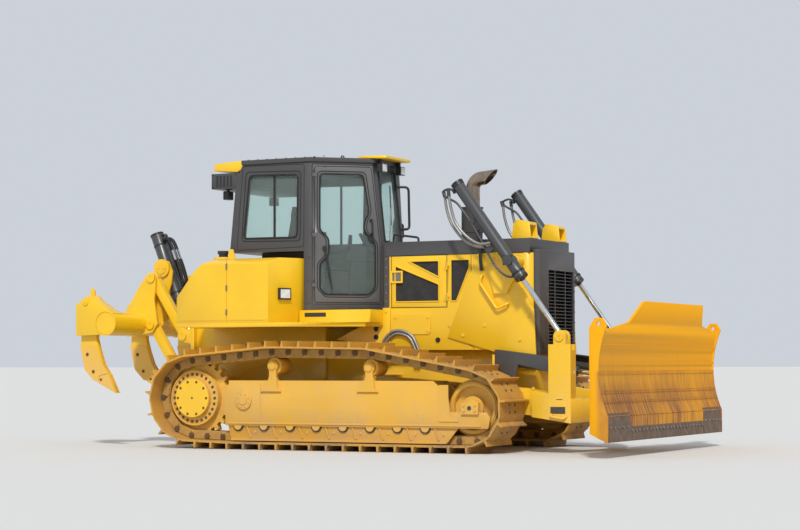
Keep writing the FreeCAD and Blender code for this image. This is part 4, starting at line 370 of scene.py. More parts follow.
def painted(name, colour, dust_colour, dust, dust_low, dust_high, roughness=0.36, coat=0.35, relief=0.0012):
    """Enamel with dust that thickens towards the ground and lies on level faces."""
    n = Nodes(name)
    near_ground = n.remap(n.axes(n.place())["Z"], dust_high, dust_low)
    level = n.axes(n.new("TexCoord").outputs["Normal"])["Z"]
    on_top = n.times(n.remap(level, 0.5, 1.0), 0.35)
    patches = n.spread(0.35, 0.72, 2.6)
    grains = n.spread(0.4, 0.7, 38.0, 4.0)
    share = n.times(n.sum(near_ground, on_top), n.sum(patches, 0.25))
    share = n.times(share, n.sum(n.times(grains, 0.5), 0.5))
    share = n.times(share, dust)
    body = n.mix(n.spread(0.3, 0.7, 1.1, 2.0), scaled(colour, 0.9), colour)
    n.link(n.mix(share, body, dust_colour), "Base Color")
    n.link(n.remap(share, 0.0, 0.8, roughness, 0.85), "Roughness")
    n.fix(Coat_Weight=coat, Coat_Roughness=0.2)
    n.bump(n.noise(70.0, 3.0), relief, 0.25)
    return n.material


def plain(name, colour, roughness, metallic=0.0, relief=0.0, grain=60.0, coat=0.0):
    """One finish with a little mottling."""
    n = Nodes(name)
    mottle = n.spread(0.3, 0.75, grain * 0.2)
    n.link(n.mix(mottle, scaled(colour, 0.75), colour), "Base Color")
    n.link(n.remap(mottle, 0.0, 1.0, roughness * 1.15, roughness * 0.9), "Roughness")
    n.fix(Metallic=metallic, Coat_Weight=coat)
    if relief:
        n.bump(n.noise(grain, 4.0), relief, 0.5)
    return n.material


def blade_paint(name, colour, soil):
    """Enamel scoured to rust and soil on the foot of the front, with fine upright scratches."""
    n = Nodes(name)
    place = n.axes(n.place())
    foot = n.remap(place["Z"], 0.85, 0.81)
    stretch = n.new("Mapping", Scale=(1.0, 30.0, 1.1))
    n.link(n.place(), stretch.inputs["Vector"])
    streak = n.new("TexNoise", Scale=1.6, Detail=6.0)
    n.link(stretch.outputs["Vector"], streak.inputs["Vector"])
    scratch = n.remap(streak.outputs["Fac"], 0.36, 0.66)
    patch = n.spread(0.3, 0.6, 1.5)
    share = n.times(foot, n.sum(n.times(patch, 0.45), 0.45))
    share = n.times(share, n.sum(n.times(scratch, 0.4), 0.6))
    above_foot = n.remap(place["Z"], 1.1, 0.8)
    share = n.sum(share, n.times(above_foot, n.times(scratch, 0.2)))
    front_only = n.remap(place["X"], 3.12, 3.2)
    share = n.times(share, front_only)
    rust = n.mix(n.spread(0.35, 0.65, 7.0), soil, (0.3, 0.12, 0.05))
    n.link(n.mix(share, colour, rust), "Base Color")
    n.link(n.remap(share, 0.0, 1.0, 0.6, 0.8), "Roughness")
    n.fix(Specular_IOR_Level=0.15)
    n.bump(n.noise(45.0, 5.0), 0.0012, 0.35)
    return n.material


def exhaust_steel(name, bright, dark):
    """Dark painted muffler below, bare heat-stained pipe above."""
    n = Nodes(name)
    above = n.remap(n.axes(n.place())["Z"], 2.57, 2.6)
    stain = n.spread(0.3, 0.7, 9.0)
    n.link(n.mix(above, dark, n.mix(stain, scaled(bright, 0.6), bright)), "Base Color")
    n.link(n.remap(above, 0.0, 1.0, 0.0, 0.9), "Metallic")
    n.link(n.remap(above, 0.0, 1.0, 0.5, 0.3), "Roughness")
    n.bump(n.noise(30.0, 4.0), 0.001, 0.3)
    return n.material


def clear_glass(name, tint):
    n = Nodes(name)
    n.fix(Base_Color=(*tint, 1.0), Roughness=0.03, Transmission_Weight=0.92, IOR=1.1, Alpha=1.0,
          Specular_IOR_Level=1.0)
    return n.material


SAND = (0.56, 0.36, 0.16)
RUST = (0.185, 0.085, 0.06)
YELLOW = (0.9, 0.545, 0.01)
M = {
    "yellow": painted("yellow_enamel", YELLOW, SAND, 0.4, 0.3, 1.4),
    "dusty": painted("dusty_enamel", (0.76, 0.42, 0.035), SAND, 1.1, -0.3, 1.5, 0.5, 0.05, 0.002),
    "dark": painted("dark_enamel", (0.062, 0.06, 0.062), (0.2, 0.17, 0.13), 0.35, 1.0, 2.4, 0.45, 0.1),
    "black": painted("black_enamel", (0.02, 0.02, 0.022), (0.16, 0.12, 0.08), 0.45, 0.4, 2.2, 0.4, 0.1),
    "blade": blade_paint("blade_enamel", (0.84, 0.38, 0.006), RUST),
    "chrome": plain("bright_rod", (0.78, 0.79, 0.81), 0.12, 1.0),
    "steel": plain("worn_steel", (0.3, 0.27, 0.24), 0.42, 0.9, 0.0015),
    "iron": plain("dark_casting", (0.055, 0.055, 0.058), 0.6, 0.3, 0.002),
    "exhaust": exhaust_steel("hot_steel", (0.42, 0.33, 0.25), (0.045, 0.042, 0.04)),
    # The cab's dark enamel at twice the tone: painted sunlight on the doors' faces
    "door": painted("door_enamel_painted_light", (0.125, 0.122, 0.124), (0.22, 0.19, 0.15), 0.35, 1.0, 2.4, 0.45, 0.1),
    "barrel": painted("barrel_enamel", (0.05, 0.053, 0.058), (0.16, 0.13, 0.09), 0.3, 0.4, 2.2, 0.42, 0.15),
    "shoes": painted("shoe_enamel", (0.66, 0.34, 0.035), (0.28, 0.18, 0.1), 1.5, -0.6, 1.9, 0.55, 0.0,
                     0.003),
    "mesh": plain("side_mesh", (0.075, 0.072, 0.072), 0.6),
    "braid": plain("braided_hose", (0.36, 0.35, 0.33), 0.38, 0.7, 0.002, 300.0),
    "clean": painted("clean_enamel", YELLOW, SAND, 0.12, 0.3, 1.4),
    "rubber": plain("black_rubber", (0.016, 0.016, 0.017), 0.62, 0.0, 0.001),
    "cloth": plain("seat_cloth", (0.028, 0.028, 0.032), 0.9, 0.0, 0.003, 260.0),
    "glass": clear_glass("cab_glass", (0.8, 0.93, 0.9)),
    "lamp": plain("lamp_lens", (0.82, 0.84, 0.85), 0.15, 0.0, 0.0, 60.0, 0.6),
    "links": plain("dusty_links", (0.5, 0.29, 0.075), 0.65, 0.05, 0.003),
    "pins": plain("dusty_pins", (0.16, 0.095, 0.045), 0.6, 0.3, 0.003),
    "edge": plain("worn_edge", (0.2, 0.13, 0.085), 0.55, 0.5, 0.002),
    "worn": painted("rubbed_paint", (0.84, 0.5, 0.08), SAND, 0.5, 0.3, 1.4, 0.55, 0.0, 0.002),
    "trim": plain("cab_trim", (0.045, 0.045, 0.05), 0.7, 0.0, 0.001),
}
LOOKS = (
    # nodes whose names start so, look, edge round
    (("track_frame", "sprockets", "idlers", "rollers"), "dusty", 0.006),
    (("track_right", "track_left"), "shoes", 0.0),
    # the doors get the cab's dark enamel lightened with painted sunlight
    (("cab_door",), "door", 0.006),
    (("cab_shell", "cab_roof", "cooler_box", "hood", "nose"), "dark", 0.006),
    (("grille",), "black", 0.0),
    (("cylinder_guards",), "barrel", 0.006),
    (("lift_barrel", "angle_barrel", "tilt_barrel", "ripper_barrel"), "barrel", 0.003),
    (("lift_rod", "angle_rod", "tilt_rod", "ripper_rod"), "chrome", 0.002),
    (("engine_block", "seat_base"), "iron", 0.004),
    (("radiator",), "iron", 0.0),
    (("exhaust",), "exhaust", 0.0),
    (("cab_glass", "door_glass"), "glass", 0.0),
    (("seat",), "cloth", 0.02),
    (("blade_frame", "blade_yoke"), "yellow", 0.006),
    (("blade",), "blade", 0.004),
    (("",), "yellow", 0.006),
)


def dress_nodes():
    """Give each CAD node its finish and soft edges."""
    for name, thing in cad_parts.items():
        look, width = next(row[1:] for row in LOOKS if name.startswith(row[0]))
        thing.data.materials.clear()
        thing.data.materials.append(M[look])
        for face in thing.data.polygons:
            face.use_smooth = True
        thing.modifiers.new("weld", "WELD").merge_threshold = 0.00005
        if width:
            round_edges(thing, width)
        else:
            thing.modifiers.new("split", "EDGE_SPLIT").split_angle = SHARP


dress_nodes()

# The chain's wheels: how far ahead and how high each stands, and the radius of the pins' line round it
PULLEYS = ((0.0, 0.54, 0.4085), (1.0, 0.885, 0.1523), (2.157, 0.865, 0.1523), (3.323, 0.457, 0.342),
           (0.583, 0.277, 0.1623))
HUB, CARRIERS, IDLER, FIRST_ROLLER = PULLEYS[0][:2], (PULLEYS[1][:2], PULLEYS[2][:2]), PULLEYS[3][:2], 0.583
SHOES = 45
LINK_SIDE = ((0.03, 0.03), (0.17, 0.03), (0.182, 0.01), (0.176, -0.045), (0.15, -0.06),
             (0.115, -0.05), (0.085, -0.05), (0.05, -0.06), (0.024, -0.045), (0.018, 0.01))


def chain_pins():
    """The chain's pins in side view, clockwise from the sprocket's top, as in the CAD track."""
    runs = []
    count = len(PULLEYS)
    for index, a in enumerate(PULLEYS):
        b = PULLEYS[(index + 1) % count]
        run = Vector((b[0] - a[0], b[1] - a[1]))
        way = math.atan2(run.y, run.x) - math.asin((a[2] - b[2]) / run.length)
        normal = Vector((-math.sin(way), math.cos(way)))
        runs.append((Vector(a[:2]) + normal * a[2], Vector(b[:2]) + normal * b[2], way))
    parts = []
    for index, (start, end, way) in enumerate(runs):
        parts.append((None, start, end, (end - start).length))
        following = (index + 1) % count
        sweep = (way - runs[following][2]) % (2 * math.pi)
        if sweep > math.pi * 1.5:
            sweep -= 2 * math.pi
        radius = PULLEYS[following][2]
        parts.append((radius, Vector(PULLEYS[following][:2]), way, radius * sweep))
    whole = sum(part[3] for part in parts)
    pins = []
    for index in range(SHOES):
        left = whole * index / SHOES
        for radius, first, second, length in parts:
            if left <= length:
                break
            left -= length
        if radius is None:
            pins.append(first + (second - first) * (left / length))
        else:
            angle = second - left / radius
            pins.append(first + Vector((-math.sin(angle), math.cos(angle))) * radius)
    return pins


def dress_chain():
    """Link plates with their pins and shoe bolts."""
    pins = chain_pins()
    links, heads, bolts = Shape(), Shape(), Shape()
    for index, start in enumerate(pins):
        along = (pins[(index + 1) % SHOES] - start).normalized()
        normal = Vector((-along.y, along.x))

        def spot(reach, rise, across, start=start, along=along, normal=normal):
            point = start + along * reach + normal * rise
            return at(point.x, across, point.y)

        for near, far in ((1.088, 1.101), (0.899, 0.912)):
            links.prism([spot(a, b, -near) for a, b in LINK_SIDE], (0, near - far, 0))
        for near, far in ((1.086, 1.112), (0.914, 0.888)):
            tip = far + (far - near) * 0.12
            heads.rod(spot(0.0, -0.004, -near), spot(0.0, -0.004, -far), 0.031, 18)
            heads.rod(spot(0.0, -0.004, -far), spot(0.0, -0.004, -tip), 0.015, 12)
        for reach in (0.075, 0.15):
            for across in (-0.932, -1.068):
                bolts.bolt(spot(reach, 0.054, across), (normal.x, 0, normal.y), 0.013)
    pair("link_plates", links, "links", 0.003)
    pair("link_pins", heads, "pins")
    pair("shoe_bolts", bolts, "steel", slot="dusty_paint")


def dress_wheels():
    """Bolts, covers and rims of the sprockets and idlers."""
    ring = Shape().bolt_circle(HUB, -1.11, 0.256, 26, 0.013, 0.5)
    ring.bolt_circle(HUB, -1.165, 0.18, 10, 0.011, 0.5).bolts(-1.165, (HUB,), 0.009)
    pair("sprocket_bolts", ring, "pins")
    cover = Shape().disc(HUB, -1.158, -1.165, 0.208, 56)
    pair("sprocket_covers", cover, "clean", 0.002)
    rims = Shape().ring(*flat(-1.11, (HUB,)), OUT, 0.298, 0.284, 0.007, 48)
    for outer, inner, height, sides in ((0.252, 0.226, 0.01, 48), (0.12, 0.0, 0.022, 36)):
        rims.ring(*flat(-1.1, (IDLER,)), OUT, outer, inner, height, sides)
    pair("hub_rims", rims, "dusty", 0.002)


def dress_track_frames():
    """Bracket feet, end plates, roller guards and their bolts."""
    plates, marks = Shape(), Shape()
    face, guard_face = -1.175, -1.151
    for ahead, _ in CARRIERS:
        foot = ((-0.075, 0.732), (-0.085, 0.65), (-0.125, 0.615), (0.125, 0.615), (0.085, 0.65),
                (0.075, 0.732))
        plates.plate(face, [(ahead + a, z) for a, z in foot], -0.022)
    plates.block((0.86, face, 0.3), (0.872, face - 0.006, 0.7))
    plates.plate(face, ((2.975, 0.69), (2.975, 0.318), (3.19, 0.318), (3.19, 0.345), (3.1, 0.365),
                        (3.08, 0.56), (3.08, 0.69)), -0.01)
    plates.block((0.47, face, 0.27), (3.44, face - 0.01, 0.29))
    for ahead in spaced(FIRST_ROLLER, 0.318, 8):
        axle = (ahead, 0.252)
        marks.disc(axle, guard_face, guard_face - 0.014, 0.062, 24)
        plates.disc(axle, guard_face, guard_face - 0.022, 0.046, 24)
        plates.strip(guard_face - 0.005, (ahead + 0.11, 0.25), (ahead + 0.155, 0.125), 0.012, 0.02)
        plates.bolts(guard_face, ((ahead + 0.205, 0.185),), 0.013)
    plates.block((0.5, guard_face, 0.092), (3.05, guard_face - 0.024, 0.112))
    plates.bolt_circle((0.665, 0.517), -1.197, 0.072, 8, 0.009, 0.5)
    plates.disc((0.665, 0.517), -1.196, -1.206, 0.045, 28)
    plates.bolts(-1.2, ((3.26, 0.43), (3.385, 0.43), (3.26, 0.485), (3.385, 0.485)), 0.013)
    for place in CARRIERS:
        plates.disc(place, -1.154, -1.168, 0.04, 24).bolt_circle(place, -1.155, 0.05, 6, 0.007)
    marks.disc((3.322, 0.458), -1.2, -1.206, 0.022, 20)
    pair("frame_covers", plates, "dusty", 0.002)
    pair("grease_plugs", marks, "black", 0.001)


# The right door's face in plan: from its hinge corner to its lock corner
DOOR_START, DOOR_STOP = (1.258, 0.78), (1.855, 0.234)
DOOR_RUN, DOOR_RISE = DOOR_STOP[0] - DOOR_START[0], DOOR_START[1] - DOOR_STOP[1]
DOOR_TURN = math.atan2(DOOR_RISE, DOOR_RUN)
DOOR_LENGTH = math.hypot(DOOR_RISE, DOOR_RUN)


def on_door(length, out, height):
    """A point on the right door, along from its hinge corner and out from its face."""
    return at(DOOR_START[0] + length * math.cos(DOOR_TURN) + out * math.sin(DOOR_TURN),
              -DOOR_START[1] + length * math.sin(DOOR_TURN) - out * math.cos(DOOR_TURN), height)


def door_glass_outline(margin):
    """The waisted edge of the door's glass, moved out by a margin."""
    end = DOOR_LENGTH
    return ((0.156, 1.654 - margin), (0.1 - margin, 1.718), (0.1 - margin, 1.987),
            (0.199 - margin, 2.085), (0.199 - margin, 2.258), (0.1 - margin, 2.342),
            (0.1 - margin, 2.95 + margin), (end - 0.233 + margin, 2.95 + margin),
            (end - 0.165 + margin, 2.536), (end - 0.221 + margin, 2.437), (end - 0.221 + margin, 2.34),
            (end - 0.098 + margin, 2.212), (end - 0.098 + margin, 1.724), (end - 0.164, 1.654 - margin))


def dress_doors():
    """Seals, handles, hinge bolts and wipers of the cab's doors."""
    end = DOOR_LENGTH
    edge = ((0.04, 1.565), (0.04, 3.035), (end - 0.14, 3.035), (end - 0.04, 2.2), (end - 0.04, 1.565))
    door_out = on_door(0, 1, 0) - on_door(0, 0, 0)
    for side, name in NAMED_SIDES:
        def add(start, shape, look, soften=0.0, side=side, name=name, **own):
            shape = shape.flipped() if side > 0 else shape
            piece(start + name, shape, look, soften, "cab_door_" + name, **own)

        seals = Shape()
        for line, out, radius, thickness in ((door_glass_outline(0.002), 0.001, 0.045, 0.009),
                                             (door_glass_outline(0.03), 0.0, 0.055, 0.005),
                                             (edge, 0.0, 0.03, 0.004)):
            seals.seal([on_door(a, out, z) for a, z in line], radius, thickness)
        add("door_seals_", seals, "rubber")
        handle = Shape()
        grip = ((0.668, -0.002, 2.455), (0.668, 0.052, 2.455), (0.672, 0.052, 2.3), (0.672, -0.002, 2.3))
        handle.tube(rounded([on_door(*place) for place in grip], 0.025), 0.011, 14)
        for height in (2.455, 2.3):
            handle.rod(on_door(0.67, 0.0, height), on_door(0.67, 0.006, height), 0.02, 20)
        lock = ((0.64, 2.235), (0.7, 2.235), (0.7, 2.275), (0.64, 2.275))
        handle.prism([on_door(a, 0.0, z) for a, z in lock], on_door(0, 0.012, 0) - on_door(0, 0, 0))
        add("door_handle_", handle, "black", 0.002)
        wiper = Shape().rod(on_door(0.15, 0.0, 2.15), on_door(0.15, 0.03, 2.15), 0.024, 20)
        wiper.bar(on_door(0.15, 0.026, 2.15), on_door(0.205, 0.018, 1.8), 0.016, 0.006, door_out)
        wiper.bar(on_door(0.178, 0.006, 2.06), on_door(0.236, 0.006, 1.7), 0.012, 0.016, door_out)
        add("door_wiper_", wiper, "black", 0.001)
        leaves = Shape()
        for low in (1.73, 2.27, 2.92):
            for reach in (0.04, 0.054):
                for lift in (0.012, 0.028):
                    leaves.bolt(on_door(reach, 0.006, low + lift), door_out, 0.004)
        add("door_hinge_bolts_", leaves, "steel", slot="dark_paint")


def dress_cab():
    """Window seals, lamps, roof eyes, handrails, cooler grille and the front wiper."""
    seals = Shape()
    face = -0.7805
    window = ((0.414, 2.274), (0.491, 2.96), (1.1, 2.948), (1.086, 2.269))
    outer = ((0.39, 2.243), (0.445, 3.001), (1.136, 2.985), (1.123, 2.23))
    frame_line = ((0.329, 2.148), (0.405, 3.065), (1.175, 3.058), (1.169, 2.165))
    seals.seal(flat(face, window), 0.05, 0.01)
    seals.seal(flat(face + 0.001, outer), 0.05, 0.005)
    seals.seal(flat(face + 0.002, frame_line), 0.03, 0.004)
    seals.mirrored()
    for side in SIDES:
        seals.block((0.78, side * 0.75, 2.272), (0.806, side * 0.762, 2.955))
    front = ((-0.196, 2.228), (-0.196, 3.012), (0.196, 3.012), (0.196, 2.228))
    seals.seal([at(1.855 - (z - 2.2) * 0.108 + 0.002, y, z) for y, z in front], 0.04, 0.01)
    piece("window_seals", seals, "rubber")

    lamps, lenses = Shape(), Shape()
    for across in (-0.22, 0.22):
        lamps.block((1.795, across - 0.055, 2.985), (1.862, across + 0.055, 3.08))
        lamps.block((1.775, across - 0.012, 3.06), (1.83, across + 0.012, 3.13))
        lenses.block((1.86, across - 0.047, 2.993), (1.868, across + 0.047, 3.072))
    for across in (-0.5, 0.5):
        lamps.block((0.01, across - 0.055, 2.73), (0.08, across + 0.055, 2.825))
        lamps.block((0.03, across - 0.012, 2.815), (0.06, across + 0.012, 2.842))
        lenses.block((0.004, across - 0.047, 2.738), (0.012, across + 0.047, 2.817))
    piece("work_lamps", lamps, "black", 0.006)
    piece("work_lamp_lenses", lenses, "lamp", 0.003)

    eyes = Shape()
    for ahead in (0.56, 1.5):
        eyes.ring(at(ahead, -0.506, 3.138), OUT, 0.021, 0.01, 0.014, 24)
        eyes.block((ahead - 0.03, -0.52, 3.129), (ahead + 0.03, -0.506, 3.135))
    eyes.bolts(-0.77, [(ahead, 3.13) for ahead in spaced(0.47, 0.118, 9)], 0.01, UP)
    pair("roof_eyes", eyes, "dark", 0.002)

    rails = Shape()
    mirror_arm = ((1.775, 0.236, 2.86), (1.89, 0.3, 2.86), (1.9, 0.3, 2.39), (1.832, 0.236, 2.39))
    rails.tube(rounded([at(*place) for place in mirror_arm], 0.05), 0.014, 14)
    hood_rail = flat(-0.4, ((2.06, 2.196), (2.06, 2.29), (2.36, 2.25), (2.36, 2.196)))
    rails.tube(rounded(hood_rail, 0.04), 0.012, 14)
    for point in flat(-0.4, ((2.06, 2.2), (2.36, 2.2))):
        rails.rod(point, point + Vector((0, 0, 0.006)), 0.024, 18)
    piece("grab_rails", rails, "black")

    wiper = Shape().rod(at(1.852, -0.14, 2.222), at(1.885, -0.14, 2.222), 0.022, 20)
    wiper.bar(at(1.88, -0.14, 2.225), at(1.815, 0.02, 2.64), 0.014, 0.008)
    wiper.bar(at(1.838, -0.02, 2.42), at(1.785, 0.05, 2.86), 0.012, 0.014)
    piece("front_wiper", wiper, "black", 0.001)

    cooler = Shape()
    for low in spaced(2.858, 0.02, 7):
        for start, stop in ((-0.62, -0.08), (0.08, 0.62)):
            cooler.block((-0.07, start, low), (-0.062, stop, low + 0.01))
    for ahead in spaced(0.0, 0.045, 5):
        cooler.block((ahead, -0.684, 2.862), (ahead + 0.022, -0.678, 2.985))
    cooler.bolts(-0.68, ((-0.05, 2.855), (-0.05, 2.995), (0.25, 2.855), (0.25, 2.995)), 0.007)
    piece("cooler_grille", cooler, "black", 0.001)

    trims = Shape()
    trims.bolts(-0.78, [(ahead, height) for ahead in (1.19, 1.235) for height in (1.56, 1.8, 2.05)], 0.008)
    trims.block((0.49, -0.485, 2.06), (1.165, -0.48, 2.075))
    trims.bolts(-0.48, [(ahead, 2.02) for ahead in spaced(0.56, 0.1, 6)], 0.008)
    pair("cab_bolts", trims, "dark")


def dress_tanks():
    """Fillers, seams, hinges and lamps of the side tanks, and the studs of decks and steps."""
    yellow, black, lens = Shape(), Shape(), Shape()
    filler = (0.2, -0.85)
    yellow.post(*filler, 2.0, 2.07, 0.105, 40)
    yellow.plate(-0.96, ((0.33, 2.03), (0.33, 2.125), (0.35, 2.15), (0.385, 2.15), (0.42, 2.035)), 0.02)
    black.post(*filler, 2.068, 2.105, 0.05, 28)
    black.post(*filler, 2.105, 2.14, 0.064, 28)
    pair("filler_caps", yellow, "yellow", 0.004)
    seams = Shape().strip(-1.2005, (0.457, 1.36), (0.457, 2.03), 0.004, 0.01)
    seams.strip(-1.2005, (-0.15, 1.372), (0.96, 1.372), 0.004, 0.008)
    pair("tank_seams", seams, "dusty", slot="yellow_paint")
    knobs = Shape()
    for height in (1.46, 1.72, 1.95):
        knobs.post(0.457, -1.205, height - 0.03, height + 0.03, 0.009)
    pair("tank_hinges", knobs, "steel")
    # The lamp set in the tank's front slope
    slope = (at(1.139, -0.85, 0) - at(0.968, -1.2, 0)).normalized()
    away = Vector((slope.y, -slope.x, 0))
    base = at(1.058, -1.02, 1.652) + away * 0.004
    up = Vector(UP)
    for shape, half_width, half_height, lift, depth in ((black, 0.075, 0.062, 0.0, 0.03),
                                                        (lens, 0.06, 0.047, 0.03, 0.008)):
        corners = ((-1, -1), (1, -1), (1, 1), (-1, 1))
        shape.prism([base + slope * (a * half_width) + up * (b * half_height) + away * lift
                     for a, b in corners], away * depth)
    black.block((1.215, -0.8415, 1.408), (1.475, -0.8395, 1.452))
    for ahead in spaced(1.2, 0.075, 10):
        for across in (-0.55, -0.61, -0.67, -0.73, -0.79):
            black.post(ahead, across, 1.48, 1.484, 0.013, 12)
    for ahead in spaced(1.16, 0.07, 7):
        step_edge = -1.2 + (ahead - 1.139) / 0.81 * 0.36 + 0.06
        for across in (-0.9, -0.96, -1.02):
            if across > step_edge:
                black.post(ahead, across, 1.345, 1.349, 0.012, 12)
    pair("tread_studs_and_lamp_boxes", black, "black")
    pair("tank_lamp_lenses", lens, "lamp", 0.003)


def inside(outline, place):
    """Whether a place lies within an outline."""
    ahead, height = place
    hits = False
    for (ax, az), (bx, bz) in zip(outline, outline[1:] + outline[:1]):
        if (az > height) != (bz > height) and ahead < (bx - ax) * (height - az) / (bz - az) + ax:
            hits = not hits
    return hits


def strand(mesh, across, outline, start, step, count):
    """The part of a straight wire that lies inside a window."""
    places = [(start[0] + step[0] * index, start[1] + step[1] * index) for index in range(count + 1)]
    found = [place for place in places if inside(outline, place)]
    if len(found) > 1:
        mesh.strip(across, found[0], found[-1], 0.006, 0.004)


def dress_windows():
    """The woven mesh in the windows of the engine's doors and side panels."""
    face = -0.535
    wire_gap, wires, stitch = 0.0125, 44, 0.01
    mesh, rims = Shape(), Shape()
    upper = ((2.3, 1.99), (2.665, 1.99), (2.665, 1.815))
    lower = ((2.15, 1.56), (2.15, 1.945), (2.665, 1.74), (2.665, 1.56))
    fixed = ((2.805, 1.56), (2.805, 1.995), (3.02, 1.995), (3.02, 1.91), (2.87, 1.56))
    for outline in (upper, lower, fixed):
        left, low = (min(values) for values in zip(*outline))
        for index in range(wires):
            strand(mesh, face + 0.014, outline, (left + index * wire_gap, low - stitch), (0.0, stitch), 50)
            strand(mesh, face + 0.014, outline, (left - stitch, low + index * wire_gap), (stitch, 0.0), 62)
        rims.seal(flat(face - 0.001, outline), 0.012, 0.008)
    pair("side_mesh", mesh, "mesh")
    pair("side_mesh_rims", rims, "yellow")


def dress_hood():
    """Seams, latches, hatches, plugs and hoses of the engine's sides, and what stands on the hood."""
    face, cheek = -0.535, -0.553
    seams, fittings = Shape(), Shape()
    low, high = 1.502, 2.045
    for start, end, width in (((2.105, low), (2.105, high), 0.007), ((2.755, low), (2.755, high), 0.007),
                              ((3.04, low), (3.04, high), 0.007), ((2.1, low), (2.755, low), 0.007),
                              ((2.02, 2.05), (3.64, 2.05), 0.008), ((2.77, 1.3), (3.08, 1.06), 0.006)):
        seams.strip(face - 0.0003, start, end, 0.003, width)
    pair("panel_seams", seams, "black")
    for low in (1.6, 1.94):
        fittings.post(2.76, face - 0.008, low - 0.035, low + 0.035, 0.01)
    fittings.block((2.122, face - 0.006, 1.785), (2.218, face - 0.001, 1.87))
    pair("side_latches", fittings, "steel", 0.002, slot="grille_paint")
    frames = Shape()
    for low, high in (((2.098, 1.872), (2.242, 1.892)), ((2.098, 1.762), (2.242, 1.782)),
                      ((2.222, 1.78), (2.242, 1.875)), ((2.098, 1.78), (2.118, 1.875))):
        frames.block((low[0], face - 0.014, low[1]), (high[0], face + 0.001, high[1]))
    grip = ((3.184, cheek, 1.817), (3.184, -0.6, 1.817), (3.168, -0.6, 1.745), (3.36, -0.6, 1.47),
            (3.479, -0.6, 1.522), (3.479, cheek, 1.522))
    frames.tube(rounded([at(*place) for place in grip], 0.03), 0.014, 14)
    pair("latch_frames_and_handles", frames, "yellow", 0.002)
    row = Shape().bolts(face, [(2.045, height) for height in (2.02, 1.93, 1.84, 1.75, 1.66, 1.57)], 0.009)
    pair("strip_bolts", row, "steel", slot="dark_paint")

    hatch = Shape()
    hatch.plate(face, ((2.145, 1.215), (2.545, 1.215), (2.57, 1.24), (2.57, 1.405), (2.545, 1.43),
                       (2.145, 1.43), (2.12, 1.405), (2.12, 1.24)), -0.01)
    hatch.bolts(face - 0.01, ((2.155, 1.25), (2.535, 1.25), (2.155, 1.395), (2.535, 1.395)), 0.012)
    hatch.bolts(cheek, ((3.42, 1.93), (3.3, 1.99), (3.2, 1.3), (3.6, 1.15), (3.7, 1.4), (2.95, 1.2)),
                0.016)
    hatch.bolts(-0.555, ((1.55, 1.185), (1.75, 1.27), (1.95, 1.27), (2.05, 1.46), (2.06, 1.12)), 0.013)
    pair("side_hatches", hatch, "yellow", 0.002)

    plugs = Shape()
    for ahead, across, height in ((1.932, -0.555, 1.275), (2.654, -0.535, 1.155), (1.932, -0.555, 1.19)):
        plugs.disc((ahead, height), across, across - 0.012, 0.026, 24)
    pair("side_plugs", plugs, "rubber")
    arches = Shape()
    arch = ((-0.215, -0.03), (-0.205, 0.08), (-0.105, 0.178), (0.015, 0.188), (0.135, 0.13), (0.205, 0.0),
            (0.21, -0.03))
    for shrink, across in ((1.0, -0.556), (0.82, -0.56)):
        route = flat(across, [(2.225 + a * shrink, 1.065 + z * shrink) for a, z in arch])
        arches.tube(smooth_path(route, 6), 0.016, 12)
    pair("side_hoses", arches, "braid")

    pipe = (2.85, -0.1)
    top = Shape()
    for level, outer, inner, height in ((2.2, 0.15, 0.114, 0.012), (2.56, 0.122, 0.07, 0.014),
                                        (2.3, 0.12, 0.112, 0.02)):
        top.ring(at(*pipe, level), UP, outer, inner, height, 40)
    for a in circle(8):
        top.bolt(at(pipe[0] + 0.132 * math.cos(a), pipe[1] + 0.132 * math.sin(a), 2.212), UP, 0.008)
    piece("exhaust_rings", top, "exhaust")
    lids = Shape().rod(at(3.25, 0.24, 2.198), at(3.25, 0.24, 2.235), 0.06, 28)
    for across in (-0.2, 0.2):
        lids.block((2.52, across - 0.004, 2.1995), (2.7, across + 0.004, 2.206))
    piece("hood_caps", lids, "dark", 0.004)

    lenses, slots = Shape(), Shape()
    for across in (-0.39, 0.39):
        lenses.block((3.53, across - 0.078, 2.222), (3.56, across + 0.078, 2.338))
        for level in spaced(2.236, 0.022, 5):
            slots.block((3.56, across - 0.076, level), (3.59, across + 0.076, level + 0.008))
    piece("head_lamp_lenses", lenses, "lamp", 0.004)
    for height in spaced(1.12, 0.11, 7):
        for across in (-0.355, 0.355):
            slots.bolt(at(3.835, across, height), FORWARD, 0.008)
    piece("head_lamp_bars", slots, "black")


# Pipes and hoses beside a lift cylinder, given by how far ahead and how high they run
LIFT_PIPE = ((2.965, 2.697), (2.89, 2.725), (2.819, 2.695), (2.85, 2.645), (2.99, 2.57), (3.13, 2.39),
             (3.3, 2.11), (3.4, 1.93), (3.488, 1.833), (3.56, 1.79), (3.634, 1.792))
LIFT_BEND = ((2.97, 2.701), (2.925, 2.715), (2.905, 2.69))
LIFT_HOSES = (
    (0.74, ((2.836, 2.65), (2.86, 2.5), (2.922, 2.342), (3.059, 2.183), (3.22, 2.11),
             (3.405, 2.118))),
    (0.8, ((2.912, 2.65), (2.935, 2.52), (2.99, 2.36), (3.11, 2.22), (3.25, 2.14),
             (3.385, 2.143))),
)
LIFT_BARREL_RADIUS = 0.0625


